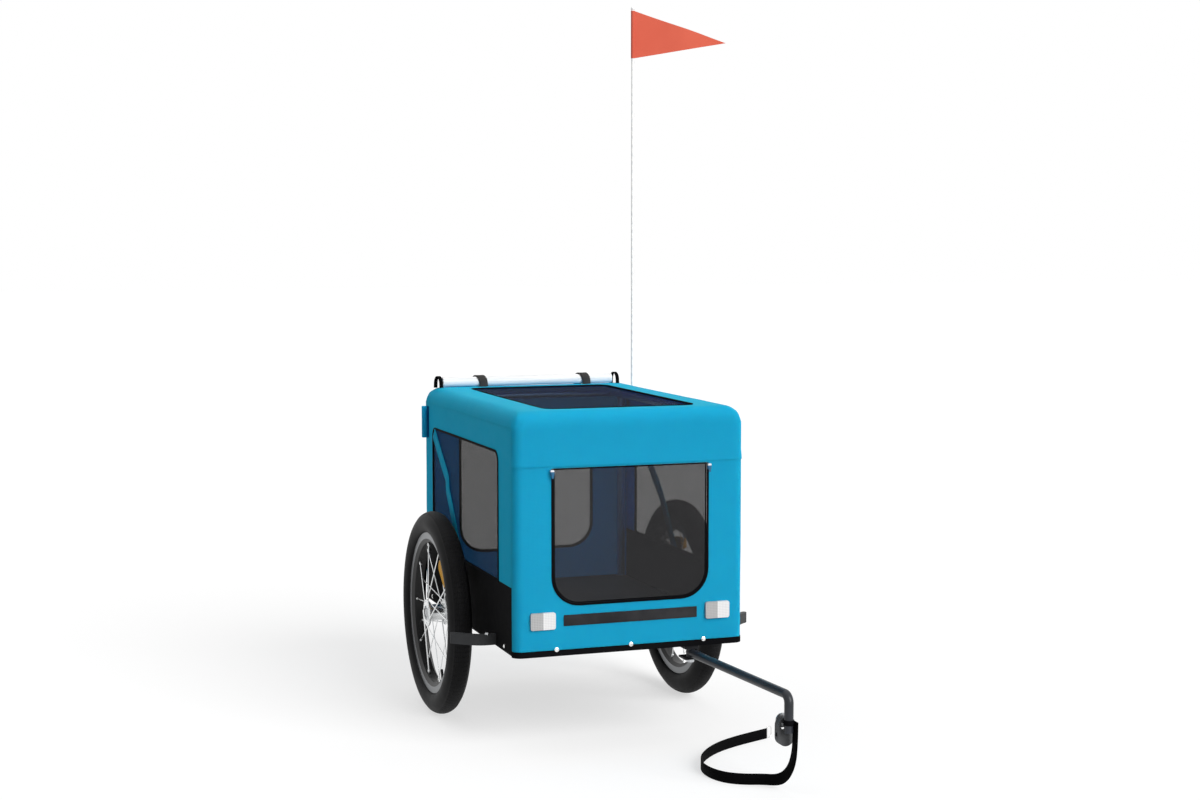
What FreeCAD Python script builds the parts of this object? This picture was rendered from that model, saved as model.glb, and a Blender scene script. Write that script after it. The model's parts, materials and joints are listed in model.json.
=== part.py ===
import FreeCAD, Part
import math
import os

# A two-wheeled dog trailer for a bicycle: a fabric cabin on a square-tube frame, a swinging drawbar
# with a hanging coupling, spoked wheels and a flag. Millimetres. While it is built, Z = 0 is the
# ground, Y = 0 the axle, -Y the front, and left and right are as seen from the front (left is -X).
# Each node is then moved so that the origin is the centre of the coupling's hitch pin bore.

V = FreeCAD.Vector
X_AXIS = V(1, 0, 0)
Y_AXIS = V(0, 1, 0)
Z_AXIS = V(0, 0, 1)
HERE = V(0, 0, 0)
SIDES = {"left": -1, "right": 1}

# Fits
seat_gap = 0.3
running_clearance = 0.05
panel_gap = 0.6

# Wheels, tyre size 47-305
tyre_width = 48.0
tyre_rise = 2.0
tyre_wall = 4.5
bead_thickness = 3.5
rim_seat_radius = 150.0
rim_flange_height = 8.5
rim_shoulder_depth = 4.0
rim_depth = 11.0
rim_width = 28.0
rim_flange = 2.0
rim_floor_width = 18.0
hub_end = 2.0
hub_radius = 16.0
hub_wall = 2.0
hub_bore_clearance = 3.0
flange_height = 10.0
flange_thickness = 3.0
flange_spacing = 36.0
bearing_width = 8.0
bearing_recess = 6.5
spokes_per_flange = 10
spoke_lead_deg = 72.0
spoke_radius = 1.1
spoke_edge = 4.0
spoke_rim_off = 4.0
spoke_head = 1.0
spoke_bite = 2.0
nipple_radius = 2.2
nipple_length = 9.0
wheel_reflector_drop = 29.0
wheel_reflector_length = 60.0
wheel_reflector_height = 24.0
wheel_reflector_thickness = 11.0
wheel_reflector_round = 9.0
reflector_angle_deg = {"left": 53.0, "right": 95.0}
axle_radius = 5.0
axle_inner_reach = 20.0
axle_end = 1.0
axle_nut_wall = 4.0
axle_nut_height = 5.0

# Cabin cover: a rise is counted up from the cabin's bottom, a margin from the edge that it names
cabin_width = 445.0
cabin_front = 407.0
cabin_rear = 232.0
cabin_height = 443.0
top_edge_radius = 30.0
corner_radius = 16.0
cover_thickness = 2.0
mesh_thickness = 1.0
mesh_lap = 12.0
hem_drop = 102.0
panel_rise = 6.0
lower_panel_rise = 3.0
lower_panel_top_rise = 126.0
side_window_front_margin = 99.0
side_window_rear_margin = 72.0
side_window_drop = 50.0
side_window_round = 18.0
roof_window_side_margin = 75.5
roof_window_front_margin = 50.0
roof_window_rear_margin = 82.0
roof_window_round = 22.0
door_side_margin = 74.0
door_rise = 94.0
door_round = 50.0
door_edge_band = 3.0
rear_window_side_margin = 77.5
rear_window_rise = 92.0
rear_window_drop = 55.0
rear_window_top_round = 18.0

# Trim on the cover
zip_width = 4.0
zip_thickness = 1.2
slider_width = 7.0
slider_height = 11.0
slider_thickness = 4.5
slider_drop = 2.0
pull_width = 4.0
pull_length = 10.0
pull_thickness = 1.6
hook_strip_inset = 19.0
hook_strip_drop = 20.0
hook_strip_height = 20.0
hook_strip_thickness = 1.5
reflector_inset = 2.5
reflector_drop = 13.0
reflector_width = 47.0
reflector_height = 31.0
reflector_thickness = 5.0
reflector_round = 4.0
snap_radius = 5.0
snap_face_radius = 3.0
snap_height = 2.5
snap_rise = 12.0
front_snap_inset = 5.5
side_snap_inset = 62.0
brace_thickness = 1.2
brace_width = 26.0
brace_foot_place = 222.0
brace_foot_lap = 9.0
# from the side window's upper rear corner, forwards and down
brace_route = ((10.0, 2.0), (66.0, 56.0), (113.0, 92.0), (124.0, 125.0), (166.0, 170.0))
roll_radius = 11.0
roll_left_inset = 30.5
roll_right_inset = 44.5
roll_inset = 4.0
roll_strap_spacing = 226.0
roll_strap_width = 20.0
roll_strap_thickness = 1.2

# Frame
rail_size = 20.0
rail_wall = 1.5
axle_clearance = 0.5
cross_member_places = (-200.0, 130.0)
board_thickness = 4.0
board_edge = 2.2
hoop_radius = 8.0
hoop_wall = 1.5
hoop_bend = 18.0
spigot_height = 30.0
roof_bar_radius = 6.0
bracket_length = 60.0
bracket_rise = 15.0
bracket_thickness = 8.0
bracket_boss_wall = 6.0
bracket_boss_length = 16.2
guard_gap = 85.0
guard_rise = 3.0
guard_height = 20.0
guard_thickness = 10.0
guard_reach = 30.0
guard_tip_out = 41.5
guard_tip_back = 35.0
guard_screw_reach = 15.5
guard_screw_radius = 4.5
guard_screw_face_radius = 3.2
guard_screw_height = 3.0

# Drawbar and coupling
drawbar_radius = 8.0
drawbar_wall = 1.7
drawbar_bend = 14.0
drawbar_side_margin = 100.0
drawbar_reach = 355.0
drop_offset = 29.5
drop_length = 64.0
pivot_radius = 4.0
pivot_head_radius = 7.5
pivot_head_height = 5.5
pivot_nut_height = 6.5
pivot_end = 2.0
drawbar_roof = 6.7
drawbar_plate = 3.5
drawbar_bracket_front = 9.0
drawbar_bracket_rear = 24.0
drawbar_bracket_inner = 14.0
drawbar_web = 3.0
coupling_pin_rise = 15.7
coupling_pin_radius = 4.5
coupling_washer_radius = 12.5
coupling_washer_thickness = 2.5
coupling_nut_radius = 7.5
coupling_nut_height = 5.0
tongue_width = 30.0
tongue_thickness = 14.0
tongue_web = 2.5
tongue_nose = 20.0
eye_radius = 10.0
eye_wall = 3.5
hitch_bore_radius = 4.0

# Safety strap: flat webbing that hangs from the drawbar's end and lies on edge on the ground.
# Its route in plan and its fall seen from the side are counted from the drawbar's drop.
strap_width = 20.0
strap_thickness = 2.0
strap_loop_thickness = 1.2
strap_loop_rise = 22.0
strap_route = (
    (9.3, -17.0), (9.3, 17.0), (5.0, 50.0), (-15.0, 72.0), (-44.0, 81.0), (-71.0, 101.0),
    (-85.0, 136.0), (-85.0, 178.0), (-68.0, 221.0), (-40.0, 259.0), (-5.0, 291.0), (35.0, 315.0),
    (79.0, 335.0), (119.0, 351.0),
)
strap_fall_front = ((-17.0, 75.0), (0.0, 30.0), (27.0, 6.0), (40.0, 0.0), (362.0, 0.0))
strap_fall_back = ((362.0, 20.0), (50.0, 20.0), (24.0, 36.0), (5.0, 66.0), (3.0, 80.0))
ring_wire_radius = 1.2
ring_length = 11.0
ring_round = 5.0
ring_corner = 1.0

# Flag
pole_radius = 3.0
pole_inset = 29.0
flag_rise = 786.0
pole_cap_radius = 4.0
sleeve_clearance = 0.6
sleeve_wall = 2.4
sleeve_sink = 1.2
sleeve_drop = 8.0
sleeve_length = 65.0
sleeve_tab_length = 20.0
sleeve_tab_thickness = 2.0
socket_rise = 26.0
socket_length = 30.0
socket_floor = 3.0
pennant_height = 99.0
pennant_reach = 216.0
pennant_tip_drop = 60.0
pennant_thickness = 0.8
pennant_hem_wall = 0.9

# Wheel places that follow
wheel_radius = rim_seat_radius + tyre_rise + tyre_width
rim_edge_radius = rim_seat_radius + rim_flange_height
rim_shoulder_radius = rim_seat_radius - rim_shoulder_depth
rim_inner_radius = rim_seat_radius - rim_depth
axle_hole_radius = axle_radius + running_clearance
hub_bore_radius = axle_radius + hub_bore_clearance
bearing_radius = hub_radius - hub_wall
flange_radius = hub_radius + flange_height
spoke_circle_radius = flange_radius - spoke_edge
spoke_set_off = flange_thickness / 2 + spoke_radius + seat_gap
wheel_reflector_circle = rim_inner_radius - wheel_reflector_drop

# Cabin and frame places that follow
half_width = cabin_width / 2
front_face = -cabin_front
rear_face = cabin_rear
cabin_bottom = wheel_radius + axle_radius + axle_clearance + rail_wall - rail_size
cabin_top = cabin_bottom + cabin_height
front_seam = front_face + corner_radius
rear_seam = rear_face - corner_radius
side_seam = half_width - corner_radius
roof_seam = cabin_top - top_edge_radius
hem_height = cabin_top - hem_drop
panel_foot = cabin_bottom + panel_rise
lower_panel_foot = cabin_bottom + lower_panel_rise
lower_panel_top = cabin_bottom + lower_panel_top_rise
side_window_front = front_face + side_window_front_margin
side_window_rear = rear_face - side_window_rear_margin
side_window_top = roof_seam - side_window_drop
roof_window_half = half_width - roof_window_side_margin
roof_window_front = front_face + roof_window_front_margin
roof_window_rear = rear_face - roof_window_rear_margin
door_half = half_width - door_side_margin
door_foot = cabin_bottom + door_rise
rear_window_half = half_width - rear_window_side_margin
rear_window_foot = cabin_bottom + rear_window_rise
rear_window_top = roof_seam - rear_window_drop
frame_inset = cover_thickness + seat_gap
frame_half = half_width - frame_inset
frame_front = front_face + frame_inset
frame_rear = rear_face - frame_inset
rail_top = cabin_bottom + rail_size
board_top = rail_top + board_thickness
leg_shift = (corner_radius - frame_inset - hoop_radius) / math.sqrt(2)
leg_x = side_seam + leg_shift
hoop_front_y = front_seam - leg_shift
hoop_rear_y = rear_seam + leg_shift
hoop_reach = top_edge_radius - frame_inset - hoop_radius
hoop_back = hoop_front_y - (front_face + top_edge_radius)
hoop_top = roof_seam + math.sqrt(hoop_reach ** 2 - hoop_back ** 2)
roof_bar_half = leg_x - hoop_bend - roof_bar_radius
bracket_top = wheel_radius + bracket_rise
hub_length = flange_spacing + flange_thickness + 2 * hub_end
boss_end = frame_half + bracket_thickness + bracket_boss_length
hub_inner = boss_end + panel_gap - bearing_recess
hub_outer = hub_inner + hub_length
wheel_plane = (hub_inner + hub_outer) / 2
guard_place = -wheel_radius - guard_gap
guard_foot = cabin_bottom + guard_rise

# Drawbar, coupling and flag places that follow
drawbar_level = cabin_bottom - drawbar_roof - seat_gap - drawbar_radius
drawbar_pivot_x = half_width - drawbar_side_margin
drawbar_pivot_y = frame_front + rail_size / 2
drop_x = drawbar_pivot_x + drop_offset
drop_y = front_face - drawbar_reach
drop_end = drawbar_level - drop_length
strap_loop_top = drop_end + strap_loop_rise
loop_radius = drawbar_radius + seat_gap + strap_loop_thickness
coupling_pin_level = drop_end + coupling_pin_rise
eye_level = coupling_pin_level + coupling_pin_radius + seat_gap - eye_radius
tongue_top = eye_level + eye_radius + eye_wall
hitch_bore_level = eye_level - eye_radius - tongue_web - hitch_bore_radius
tongue_foot = hitch_bore_level - tongue_nose
tongue_front = drop_y + loop_radius + panel_gap
tongue_rear = tongue_front + tongue_thickness
origin = V(drop_x, (tongue_front + tongue_rear) / 2, hitch_bore_level)
sleeve_bore_radius = pole_radius + sleeve_clearance
sleeve_radius = sleeve_bore_radius + sleeve_wall
sleeve_top = roof_seam - sleeve_drop
sleeve_foot = sleeve_top - sleeve_length
socket_foot = cabin_bottom + socket_rise
socket_top = socket_foot + socket_length
pole_x = half_width + sleeve_tab_thickness + sleeve_radius - sleeve_sink
pole_place = rear_face - pole_inset
pole_top = cabin_top + flag_rise
pennant_foot = pole_top - pennant_height
pennant_tip_level = pole_top - pennant_tip_drop


# Shape helpers

def on_xy(z):
    """Places a pair of numbers on the level plane at z."""
    return lambda u, v: V(u, v, z)


def on_xz(y):
    """Places a pair of numbers on the upright plane across the trailer at y."""
    return lambda u, v: V(u, y, v)


def on_yz(x):
    """Places a pair of numbers on the upright plane along the trailer at x."""
    return lambda u, v: V(x, u, v)


def box(x_range, y_range, z_range):
    """A block between two values on each axis."""
    low = V(min(x_range), min(y_range), min(z_range))
    size = V(max(x_range), max(y_range), max(z_range)) - low
    return Part.makeBox(size.x, size.y, size.z, low)


def rod(start, end, radius):
    """A round bar between two points."""
    return Part.makeCylinder(radius, (end - start).Length, start, end - start)


def ring(start, end, outer, inner):
    """A round tube between two points."""
    return rod(start, end, outer).cut(rod(start, end, inner))


def hexagon(start, end, radius):
    """A hexagon bar between two points, its corners at the given radius."""
    direction = (end - start).normalize()
    across = X_AXIS if abs(direction.x) < 0.5 else Z_AXIS
    points = []
    for corner in range(7):
        turn = FreeCAD.Rotation(direction, 60 * corner)
        points.append(start + turn.multVec(across * radius))
    return Part.Face(Part.makePolygon(points)).extrude(end - start)


def rounded_face(corners, place):
    """A flat face from corners (u, v, radius), each rounded by its radius."""
    edges = []
    starts = []
    ends = []
    middles = []
    count = len(corners)
    for index, (u, v, radius) in enumerate(corners):
        corner = place(u, v)
        before = (place(*corners[index - 1][:2]) - corner).normalize()
        after = (place(*corners[(index + 1) % count][:2]) - corner).normalize()
        half = before.getAngle(after) / 2
        reach = radius / math.tan(half)
        inward = (before + after).normalize()
        starts.append(corner + before * reach)
        ends.append(corner + after * reach)
        middles.append(corner + inward * (radius / math.sin(half) - radius))
    for index in range(count):
        if corners[index][2] > 0:
            edges.append(Part.Arc(starts[index], middles[index], ends[index]).toShape())
        edges.append(Part.LineSegment(ends[index], starts[(index + 1) % count]).toShape())
    return Part.Face(Part.Wire(edges))


def rounded_box(u_range, v_range, radius, place, depth):
    """A plate with four equal rounded corners, extruded by the depth vector."""
    low_u, high_u = u_range
    low_v, high_v = v_range
    corners = [(low_u, low_v), (high_u, low_v), (high_u, high_v), (low_u, high_v)]
    return rounded_face([(u, v, radius) for u, v in corners], place).extrude(depth)


def bent_path(points, label=None):
    """A wire of straight runs joined by tangent arcs, each arc as large as its two runs allow."""
    edges = []
    here = points[0]
    radii = []
    for index in range(1, len(points) - 1):
        corner = points[index]
        before = points[index - 1] - corner
        after = points[index + 1] - corner
        shorter = min(before.Length, after.Length)
        before.normalize()
        after.normalize()
        half = before.getAngle(after) / 2
        reach = 0.45 * shorter
        radius = reach * math.tan(half)
        inward = (before + after).normalize()
        start = corner + before * reach
        middle = corner + inward * (radius / math.sin(half) - radius)
        end = corner + after * reach
        edges.append(Part.LineSegment(here, start).toShape())
        edges.append(Part.Arc(start, middle, end).toShape())
        radii.append(round(radius, 1))
        here = end
    edges.append(Part.LineSegment(here, points[-1]).toShape())
    if label:
        print(label, "bend radii", radii)
    return Part.Wire(edges)


def band(points, width_direction, width, thickness, label=None):
    """A flat band along a bent path, its width along one direction, and the path's length."""
    path = bent_path(points, label)
    along = (points[1] - points[0]).normalize()
    across = along.cross(width_direction).normalize() * (thickness / 2)
    wide = width_direction * (width / 2)
    corners = []
    for offset in (across + wide, wide - across, across * -1 - wide, across - wide):
        corners.append(points[0] + offset)
    profile = Part.makePolygon(corners + corners[:1])
    return path.makePipeShell([profile], True, False), path.Length


def pipe(path, start, direction, outer, inner):
    """A round tube along a path."""
    walls = []
    for radius in (outer, inner):
        circle = Part.Wire(Part.Circle(start, direction, radius).toShape())
        walls.append(path.makePipeShell([circle], True, False))
    return walls[0].cut(walls[1])


def mirrored(shape):
    """The same piece on the other side of the trailer."""
    return shape.mirror(HERE, X_AXIS)


# Cabin cover

def cabin_plan(inset, z_range):
    """The cabin's plan with its rounded corners, as a block."""
    return rounded_box((inset - half_width, half_width - inset), (front_face + inset, rear_face - inset),
                       corner_radius - inset, on_xy(z_range[0]), Z_AXIS * (z_range[1] - z_range[0]))


def cabin_block(inset):
    """The cabin as a solid block, its upper edges and corners rounded, shrunk by the inset."""
    half = half_width - inset
    front = front_face + inset
    rear = rear_face - inset
    top = cabin_top - inset
    radius = top_edge_radius - inset
    foot = cabin_bottom
    across = [(-half, foot, 0), (half, foot, 0), (half, top, radius), (-half, top, radius)]
    along = [(front, foot, 0), (rear, foot, 0), (rear, top, radius), (front, top, radius)]
    front_view = rounded_face(across, on_xz(front)).extrude(Y_AXIS * (rear - front))
    side_view = rounded_face(along, on_yz(-half)).extrude(X_AXIS * (2 * half))
    return front_view.common(side_view).common(cabin_plan(inset, (cabin_bottom, top)))


def cover_between(shell, x_range, y_range, z_range):
    """The part of the cover that lies between the given values."""
    return shell.common(box(x_range, y_range, z_range))


WIDE = (-half_width - 1, half_width + 1)
LONG = (front_face - 1, rear_face + 1)
FRONT = (front_face - 1, front_seam)
REAR = (rear_seam, rear_face + 1)
MIDDLE = (front_seam, rear_seam)


def doorway(inset, top, y, depth):
    """The front opening's outline, square at the top and round at its lower corners, as a plate."""
    half = door_half - inset
    foot = door_foot + inset
    radius = door_round - inset
    corners = [(-half, foot, radius), (half, foot, radius), (half, top, 0), (-half, top, 0)]
    return rounded_face(corners, on_xz(y)).extrude(Y_AXIS * depth)


def rear_opening(grow, y, depth):
    """The rear window's outline, grown outwards all round, as a plate."""
    half = rear_window_half + grow
    foot = rear_window_foot - grow
    top = rear_window_top + grow
    low_round = door_round + grow
    top_round = rear_window_top_round + grow
    corners = [(-half, foot, low_round), (half, foot, low_round),
               (half, top, top_round), (-half, top, top_round)]
    return rounded_face(corners, on_xz(y)).extrude(Y_AXIS * depth)


def roof_opening(grow, z, depth):
    """The roof window's outline, grown outwards all round, as a plate."""
    half = roof_window_half + grow
    return rounded_box((-half, half), (roof_window_front - grow, roof_window_rear + grow),
                       roof_window_round + grow, on_xy(z), Z_AXIS * depth)


def side_opening(grow, foot, x, depth):
    """The right side window's outline, grown outwards all round, as a plate."""
    front = side_window_front - grow
    rear = side_window_rear + grow
    top = side_window_top + grow
    radius = side_window_round + grow
    corners = [(front, foot, 0), (rear, foot, 0), (rear, top, radius), (front, top, radius)]
    return rounded_face(corners, on_yz(x)).extrude(X_AXIS * depth)


def cover_nodes():
    """The fabric panels and the mesh windows."""
    shell = cabin_block(0).cut(cabin_block(cover_thickness))
    nodes = {}

    roof = cover_between(shell, WIDE, LONG, (roof_seam, cabin_top + 1))
    header = cover_between(shell, WIDE, FRONT, (hem_height, roof_seam))
    inner_roof = cabin_top - cover_thickness
    roof = roof.fuse(header).removeSplitter()
    nodes["roof_panel"] = roof.cut(roof_opening(0, inner_roof - 1, cover_thickness + 2))
    nodes["roof_mesh"] = roof_opening(mesh_lap, inner_roof - seat_gap - mesh_thickness, mesh_thickness)

    front = cover_between(shell, WIDE, FRONT, (panel_foot, hem_height))
    nodes["front_panel"] = front.cut(doorway(0, hem_height + 1, front_face - 1, cover_thickness + 2))

    rear = cover_between(shell, WIDE, REAR, (panel_foot, roof_seam))
    inner_rear = rear_face - cover_thickness
    nodes["rear_panel"] = rear.cut(rear_opening(0, inner_rear - 1, cover_thickness + 2))
    nodes["rear_mesh"] = rear_opening(mesh_lap, inner_rear - seat_gap - mesh_thickness, mesh_thickness)

    inner_side = half_width - cover_thickness
    outside = (side_seam, half_width + 1)
    side = cover_between(shell, outside, MIDDLE, (lower_panel_top, roof_seam))
    side = side.cut(side_opening(0, lower_panel_top - 1, inner_side - 1, cover_thickness + 2))
    lower = cover_between(shell, outside, MIDDLE, (lower_panel_foot, lower_panel_top))
    slots = ((0, bracket_length, bracket_top), (guard_place, guard_thickness, guard_foot + guard_height))
    for place, length, top in slots:
        reach = length / 2 + panel_gap
        slot = box(outside, (place - reach, place + reach), (lower_panel_foot - 1, top + panel_gap))
        lower = lower.cut(slot)
    mesh_face = inner_side - seat_gap - mesh_thickness
    mesh = side_opening(mesh_lap, lower_panel_top - mesh_lap, mesh_face, mesh_thickness)
    nodes["side_panel_right"] = side
    nodes["side_panel_left"] = mirrored(side)
    nodes["lower_panel_right"] = lower
    nodes["lower_panel_left"] = mirrored(lower)
    nodes["side_meshes"] = Part.makeCompound([mirrored(mesh), mesh])
    return nodes


def door_nodes():
    """The front flap: a mesh sheet in a bound edge, hung at the roof's hem."""
    top = hem_height - panel_gap
    outer = doorway(panel_gap, top, front_face, cover_thickness)
    band_inset = panel_gap + door_edge_band
    inner = doorway(band_inset, top - door_edge_band, front_face - 1, cover_thickness + 2)
    mesh_face = front_face + (cover_thickness - mesh_thickness) / 2
    mesh = doorway(band_inset, top - door_edge_band, mesh_face, mesh_thickness)
    return {"door_binding": outer.cut(inner), "door_mesh": mesh}


# Trim on the cover

def zip_slider():
    """A right-hand zip slider with its pull, on the zip beside the front flap."""
    centre = door_half + slider_width / 2
    back = front_face - zip_thickness - seat_gap
    front = back - slider_thickness
    top = hem_height - slider_drop
    body = rounded_box((centre - slider_width / 2, centre + slider_width / 2), (top - slider_height, top),
                       slider_width / 4, on_xz(front), Y_AXIS * slider_thickness)
    pull_top = top - slider_height / 2
    pull = rounded_box((centre - pull_width / 2, centre + pull_width / 2), (pull_top - pull_length, pull_top),
                       pull_width / 3, on_xz(front - pull_thickness), Y_AXIS * pull_thickness)
    return body.fuse(pull)


def roll_arch(middle, radius):
    """The outline of a strap over the rolled cover, round above and straight down its sides, as a block."""
    reach = X_AXIS * (roll_strap_width / 2)
    sides = box((middle.x - reach.x, middle.x + reach.x), (middle.y - radius, middle.y + radius),
                (roof_seam, middle.z))
    return rod(middle - reach, middle + reach, radius).fuse(sides).removeSplitter()


def trim_nodes():
    """Zip, hook strip, reflectors, snaps, braces and the rolled rain cover."""
    nodes = {}
    zip_top = hem_height - panel_gap
    tape = doorway(-zip_width, zip_top, front_face - zip_thickness, zip_thickness)
    tape_hole = doorway(0, zip_top + 1, front_face - zip_thickness - 1, zip_thickness + 2)
    nodes["zip_tape"] = tape.cut(tape_hole)
    nodes["zip_slider_right"] = zip_slider()
    nodes["zip_slider_left"] = mirrored(zip_slider())
    strip_half = door_half - hook_strip_inset
    strip_top = door_foot - hook_strip_drop
    nodes["hook_strip"] = box((-strip_half, strip_half), (front_face - hook_strip_thickness, front_face),
                              (strip_top - hook_strip_height, strip_top))

    reflector_inner = door_half - reflector_inset
    reflector_top = door_foot - reflector_drop
    reflector = rounded_box((reflector_inner, reflector_inner + reflector_width),
                            (reflector_top - reflector_height, reflector_top), reflector_round,
                            on_xz(front_face - reflector_thickness), Y_AXIS * reflector_thickness)
    nodes["front_reflectors"] = Part.makeCompound([mirrored(reflector), reflector])

    snap_level = cabin_bottom + snap_rise
    snap_spacing = door_half - front_snap_inset
    seats = []
    for place in (-snap_spacing, 0, snap_spacing):
        seats.append((V(place, front_face, snap_level), Y_AXIS * -1))
        seats.append((V(place, rear_face, snap_level), Y_AXIS))
    for place in (front_face + side_snap_inset, rear_face - side_snap_inset):
        seats.append((V(-half_width, place, snap_level), X_AXIS * -1))
        seats.append((V(half_width, place, snap_level), X_AXIS))
    snaps = [Part.makeCone(snap_radius, snap_face_radius, snap_height, *seat) for seat in seats]
    nodes["snap_studs"] = Part.makeCompound(snaps)

    brace_x = half_width + seat_gap + brace_thickness / 2
    route = [V(brace_x, side_window_rear - back, side_window_top - down) for back, down in brace_route]
    route.append(V(brace_x, side_window_rear - brace_foot_place, lower_panel_top - brace_foot_lap))
    along = (route[1] - route[0]).normalize()
    brace, _ = band(route, along.cross(X_AXIS).normalize(), brace_width, brace_thickness)
    nodes["brace_straps"] = Part.makeCompound([mirrored(brace), brace])

    roll_level = cabin_top + seat_gap + roll_radius
    roll_place = rear_face - top_edge_radius - roll_inset
    roll_left = V(roll_left_inset - half_width, roll_place, roll_level)
    roll_right = V(half_width - roll_right_inset, roll_place, roll_level)
    nodes["rain_cover_roll"] = rod(roll_left, roll_right, roll_radius)
    inner = roll_radius + seat_gap
    straps = []
    for place in (-roll_strap_spacing / 2, roll_strap_spacing / 2):
        middle = V(place, roll_place, roll_level)
        arch = roll_arch(middle, inner + roll_strap_thickness).cut(roll_arch(middle, inner))
        straps.append(arch.cut(cabin_block(0)))
    nodes["roll_straps"] = Part.makeCompound(straps)
    return nodes


# Frame

def square_tube(x_range, y_range, z_range, axis):
    """A square tube, open at both ends along the named axis."""
    ranges = {"x": x_range, "y": y_range, "z": z_range}
    hollow = {}
    for name, (low, high) in ranges.items():
        shift = -1.0 if name == axis else rail_wall
        hollow[name] = (low + shift, high - shift)
    return box(x_range, y_range, z_range).cut(box(hollow["x"], hollow["y"], hollow["z"]))


def hoop(y):
    """A bent tube that stands on both sides of the frame and carries the roof."""
    bend = hoop_bend * (1 - math.sqrt(0.5))
    inner_x = leg_x - hoop_bend
    shoulder = hoop_top - hoop_bend
    points = [V(-leg_x, y, rail_top), V(-leg_x, y, shoulder), V(bend - leg_x, y, hoop_top - bend),
              V(-inner_x, y, hoop_top), V(inner_x, y, hoop_top), V(leg_x - bend, y, hoop_top - bend),
              V(leg_x, y, shoulder), V(leg_x, y, rail_top)]
    path = Part.Wire([
        Part.LineSegment(points[0], points[1]).toShape(),
        Part.Arc(points[1], points[2], points[3]).toShape(),
        Part.LineSegment(points[3], points[4]).toShape(),
        Part.Arc(points[4], points[5], points[6]).toShape(),
        Part.LineSegment(points[6], points[7]).toShape(),
    ])
    return pipe(path, points[0], Z_AXIS, hoop_radius, hoop_radius - hoop_wall)


def frame_nodes():
    """The base frame, its floor board, the hoops and the axle supports."""
    nodes = {}
    levels = (cabin_bottom, rail_top)
    plan = cabin_plan(frame_inset, levels)
    front_back = frame_front + rail_size
    rear_front = frame_rear - rail_size
    side_inner = frame_half - rail_size
    across = (-frame_half, frame_half)
    front = square_tube(across, (frame_front, front_back), levels, "x").common(plan)
    pivot = V(drawbar_pivot_x, drawbar_pivot_y, cabin_bottom - 1)
    pivot_hole = rod(pivot, pivot + Z_AXIS * (rail_wall + 2), pivot_radius + running_clearance)
    nodes["frame_rail_front"] = front.cut(pivot_hole)
    nodes["frame_rail_rear"] = square_tube(across, (rear_front, frame_rear), levels, "x").common(plan)
    axle_hole = rod(V(side_inner - 1, 0, wheel_radius), V(boss_end + 1, 0, wheel_radius), axle_hole_radius)
    rail = square_tube((side_inner, frame_half), (front_back, rear_front), levels, "y").cut(axle_hole)
    nodes["frame_rails_side"] = Part.makeCompound([mirrored(rail), rail])
    beams = []
    for place in (0,) + cross_member_places:
        along = (place - rail_size / 2, place + rail_size / 2)
        beams.append(square_tube((-side_inner, side_inner), along, levels, "x"))
    nodes["axle_beam"] = beams[0]
    nodes["cross_members"] = Part.makeCompound(beams[1:])

    board = box((board_edge - frame_half, frame_half - board_edge),
                (frame_front + board_edge, frame_rear - board_edge), (rail_top, board_top))
    notch = hoop_radius + panel_gap
    spigots = []
    for side in SIDES.values():
        for hoop_y, outward in ((hoop_front_y, -1), (hoop_rear_y, 1)):
            leg = V(side * leg_x, hoop_y, rail_top)
            along = (leg.y - outward * notch, leg.y + outward * rail_size)
            across = (leg.x - side * notch, side * half_width)
            board = board.cut(box(across, along, (rail_top - 1, board_top + 1)))
            spigots.append(rod(leg, leg + Z_AXIS * spigot_height, hoop_radius - hoop_wall - seat_gap))
    nodes["floor_board"] = board
    nodes["hoop_spigots"] = Part.makeCompound(spigots)
    nodes["hoop_front"] = hoop(hoop_front_y)
    nodes["hoop_rear"] = hoop(hoop_rear_y)
    bars = []
    for side in SIDES.values():
        start = V(side * roof_bar_half, hoop_front_y + hoop_radius + seat_gap, hoop_top)
        end = V(side * roof_bar_half, hoop_rear_y - hoop_radius - seat_gap, hoop_top)
        bars.append(rod(start, end, roof_bar_radius))
    nodes["roof_bars"] = Part.makeCompound(bars)

    plate_end = frame_half + bracket_thickness
    bracket = box((frame_half, plate_end), (-bracket_length / 2, bracket_length / 2),
                  (cabin_bottom, bracket_top))
    boss = rod(V(frame_half, 0, wheel_radius), V(boss_end, 0, wheel_radius),
               axle_radius + bracket_boss_wall)
    bracket = bracket.fuse(boss).cut(axle_hole)
    nodes["axle_brackets"] = Part.makeCompound([mirrored(bracket), bracket])
    nut_seat = hub_outer - bearing_recess
    nut_start = nut_seat + seat_gap
    nut_end = nut_start + axle_nut_height
    axle = rod(V(side_inner - axle_inner_reach, 0, wheel_radius), V(nut_end + axle_end, 0, wheel_radius),
               axle_radius)
    nodes["stub_axles"] = Part.makeCompound([mirrored(axle), axle])
    nut = hexagon(V(nut_start, 0, wheel_radius), V(nut_end, 0, wheel_radius), axle_radius + axle_nut_wall)
    nut = nut.cut(rod(V(nut_seat, 0, wheel_radius), V(nut_end + 1, 0, wheel_radius), axle_hole_radius))
    nodes["axle_nuts"] = Part.makeCompound([mirrored(nut), nut])
    return nodes


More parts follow.
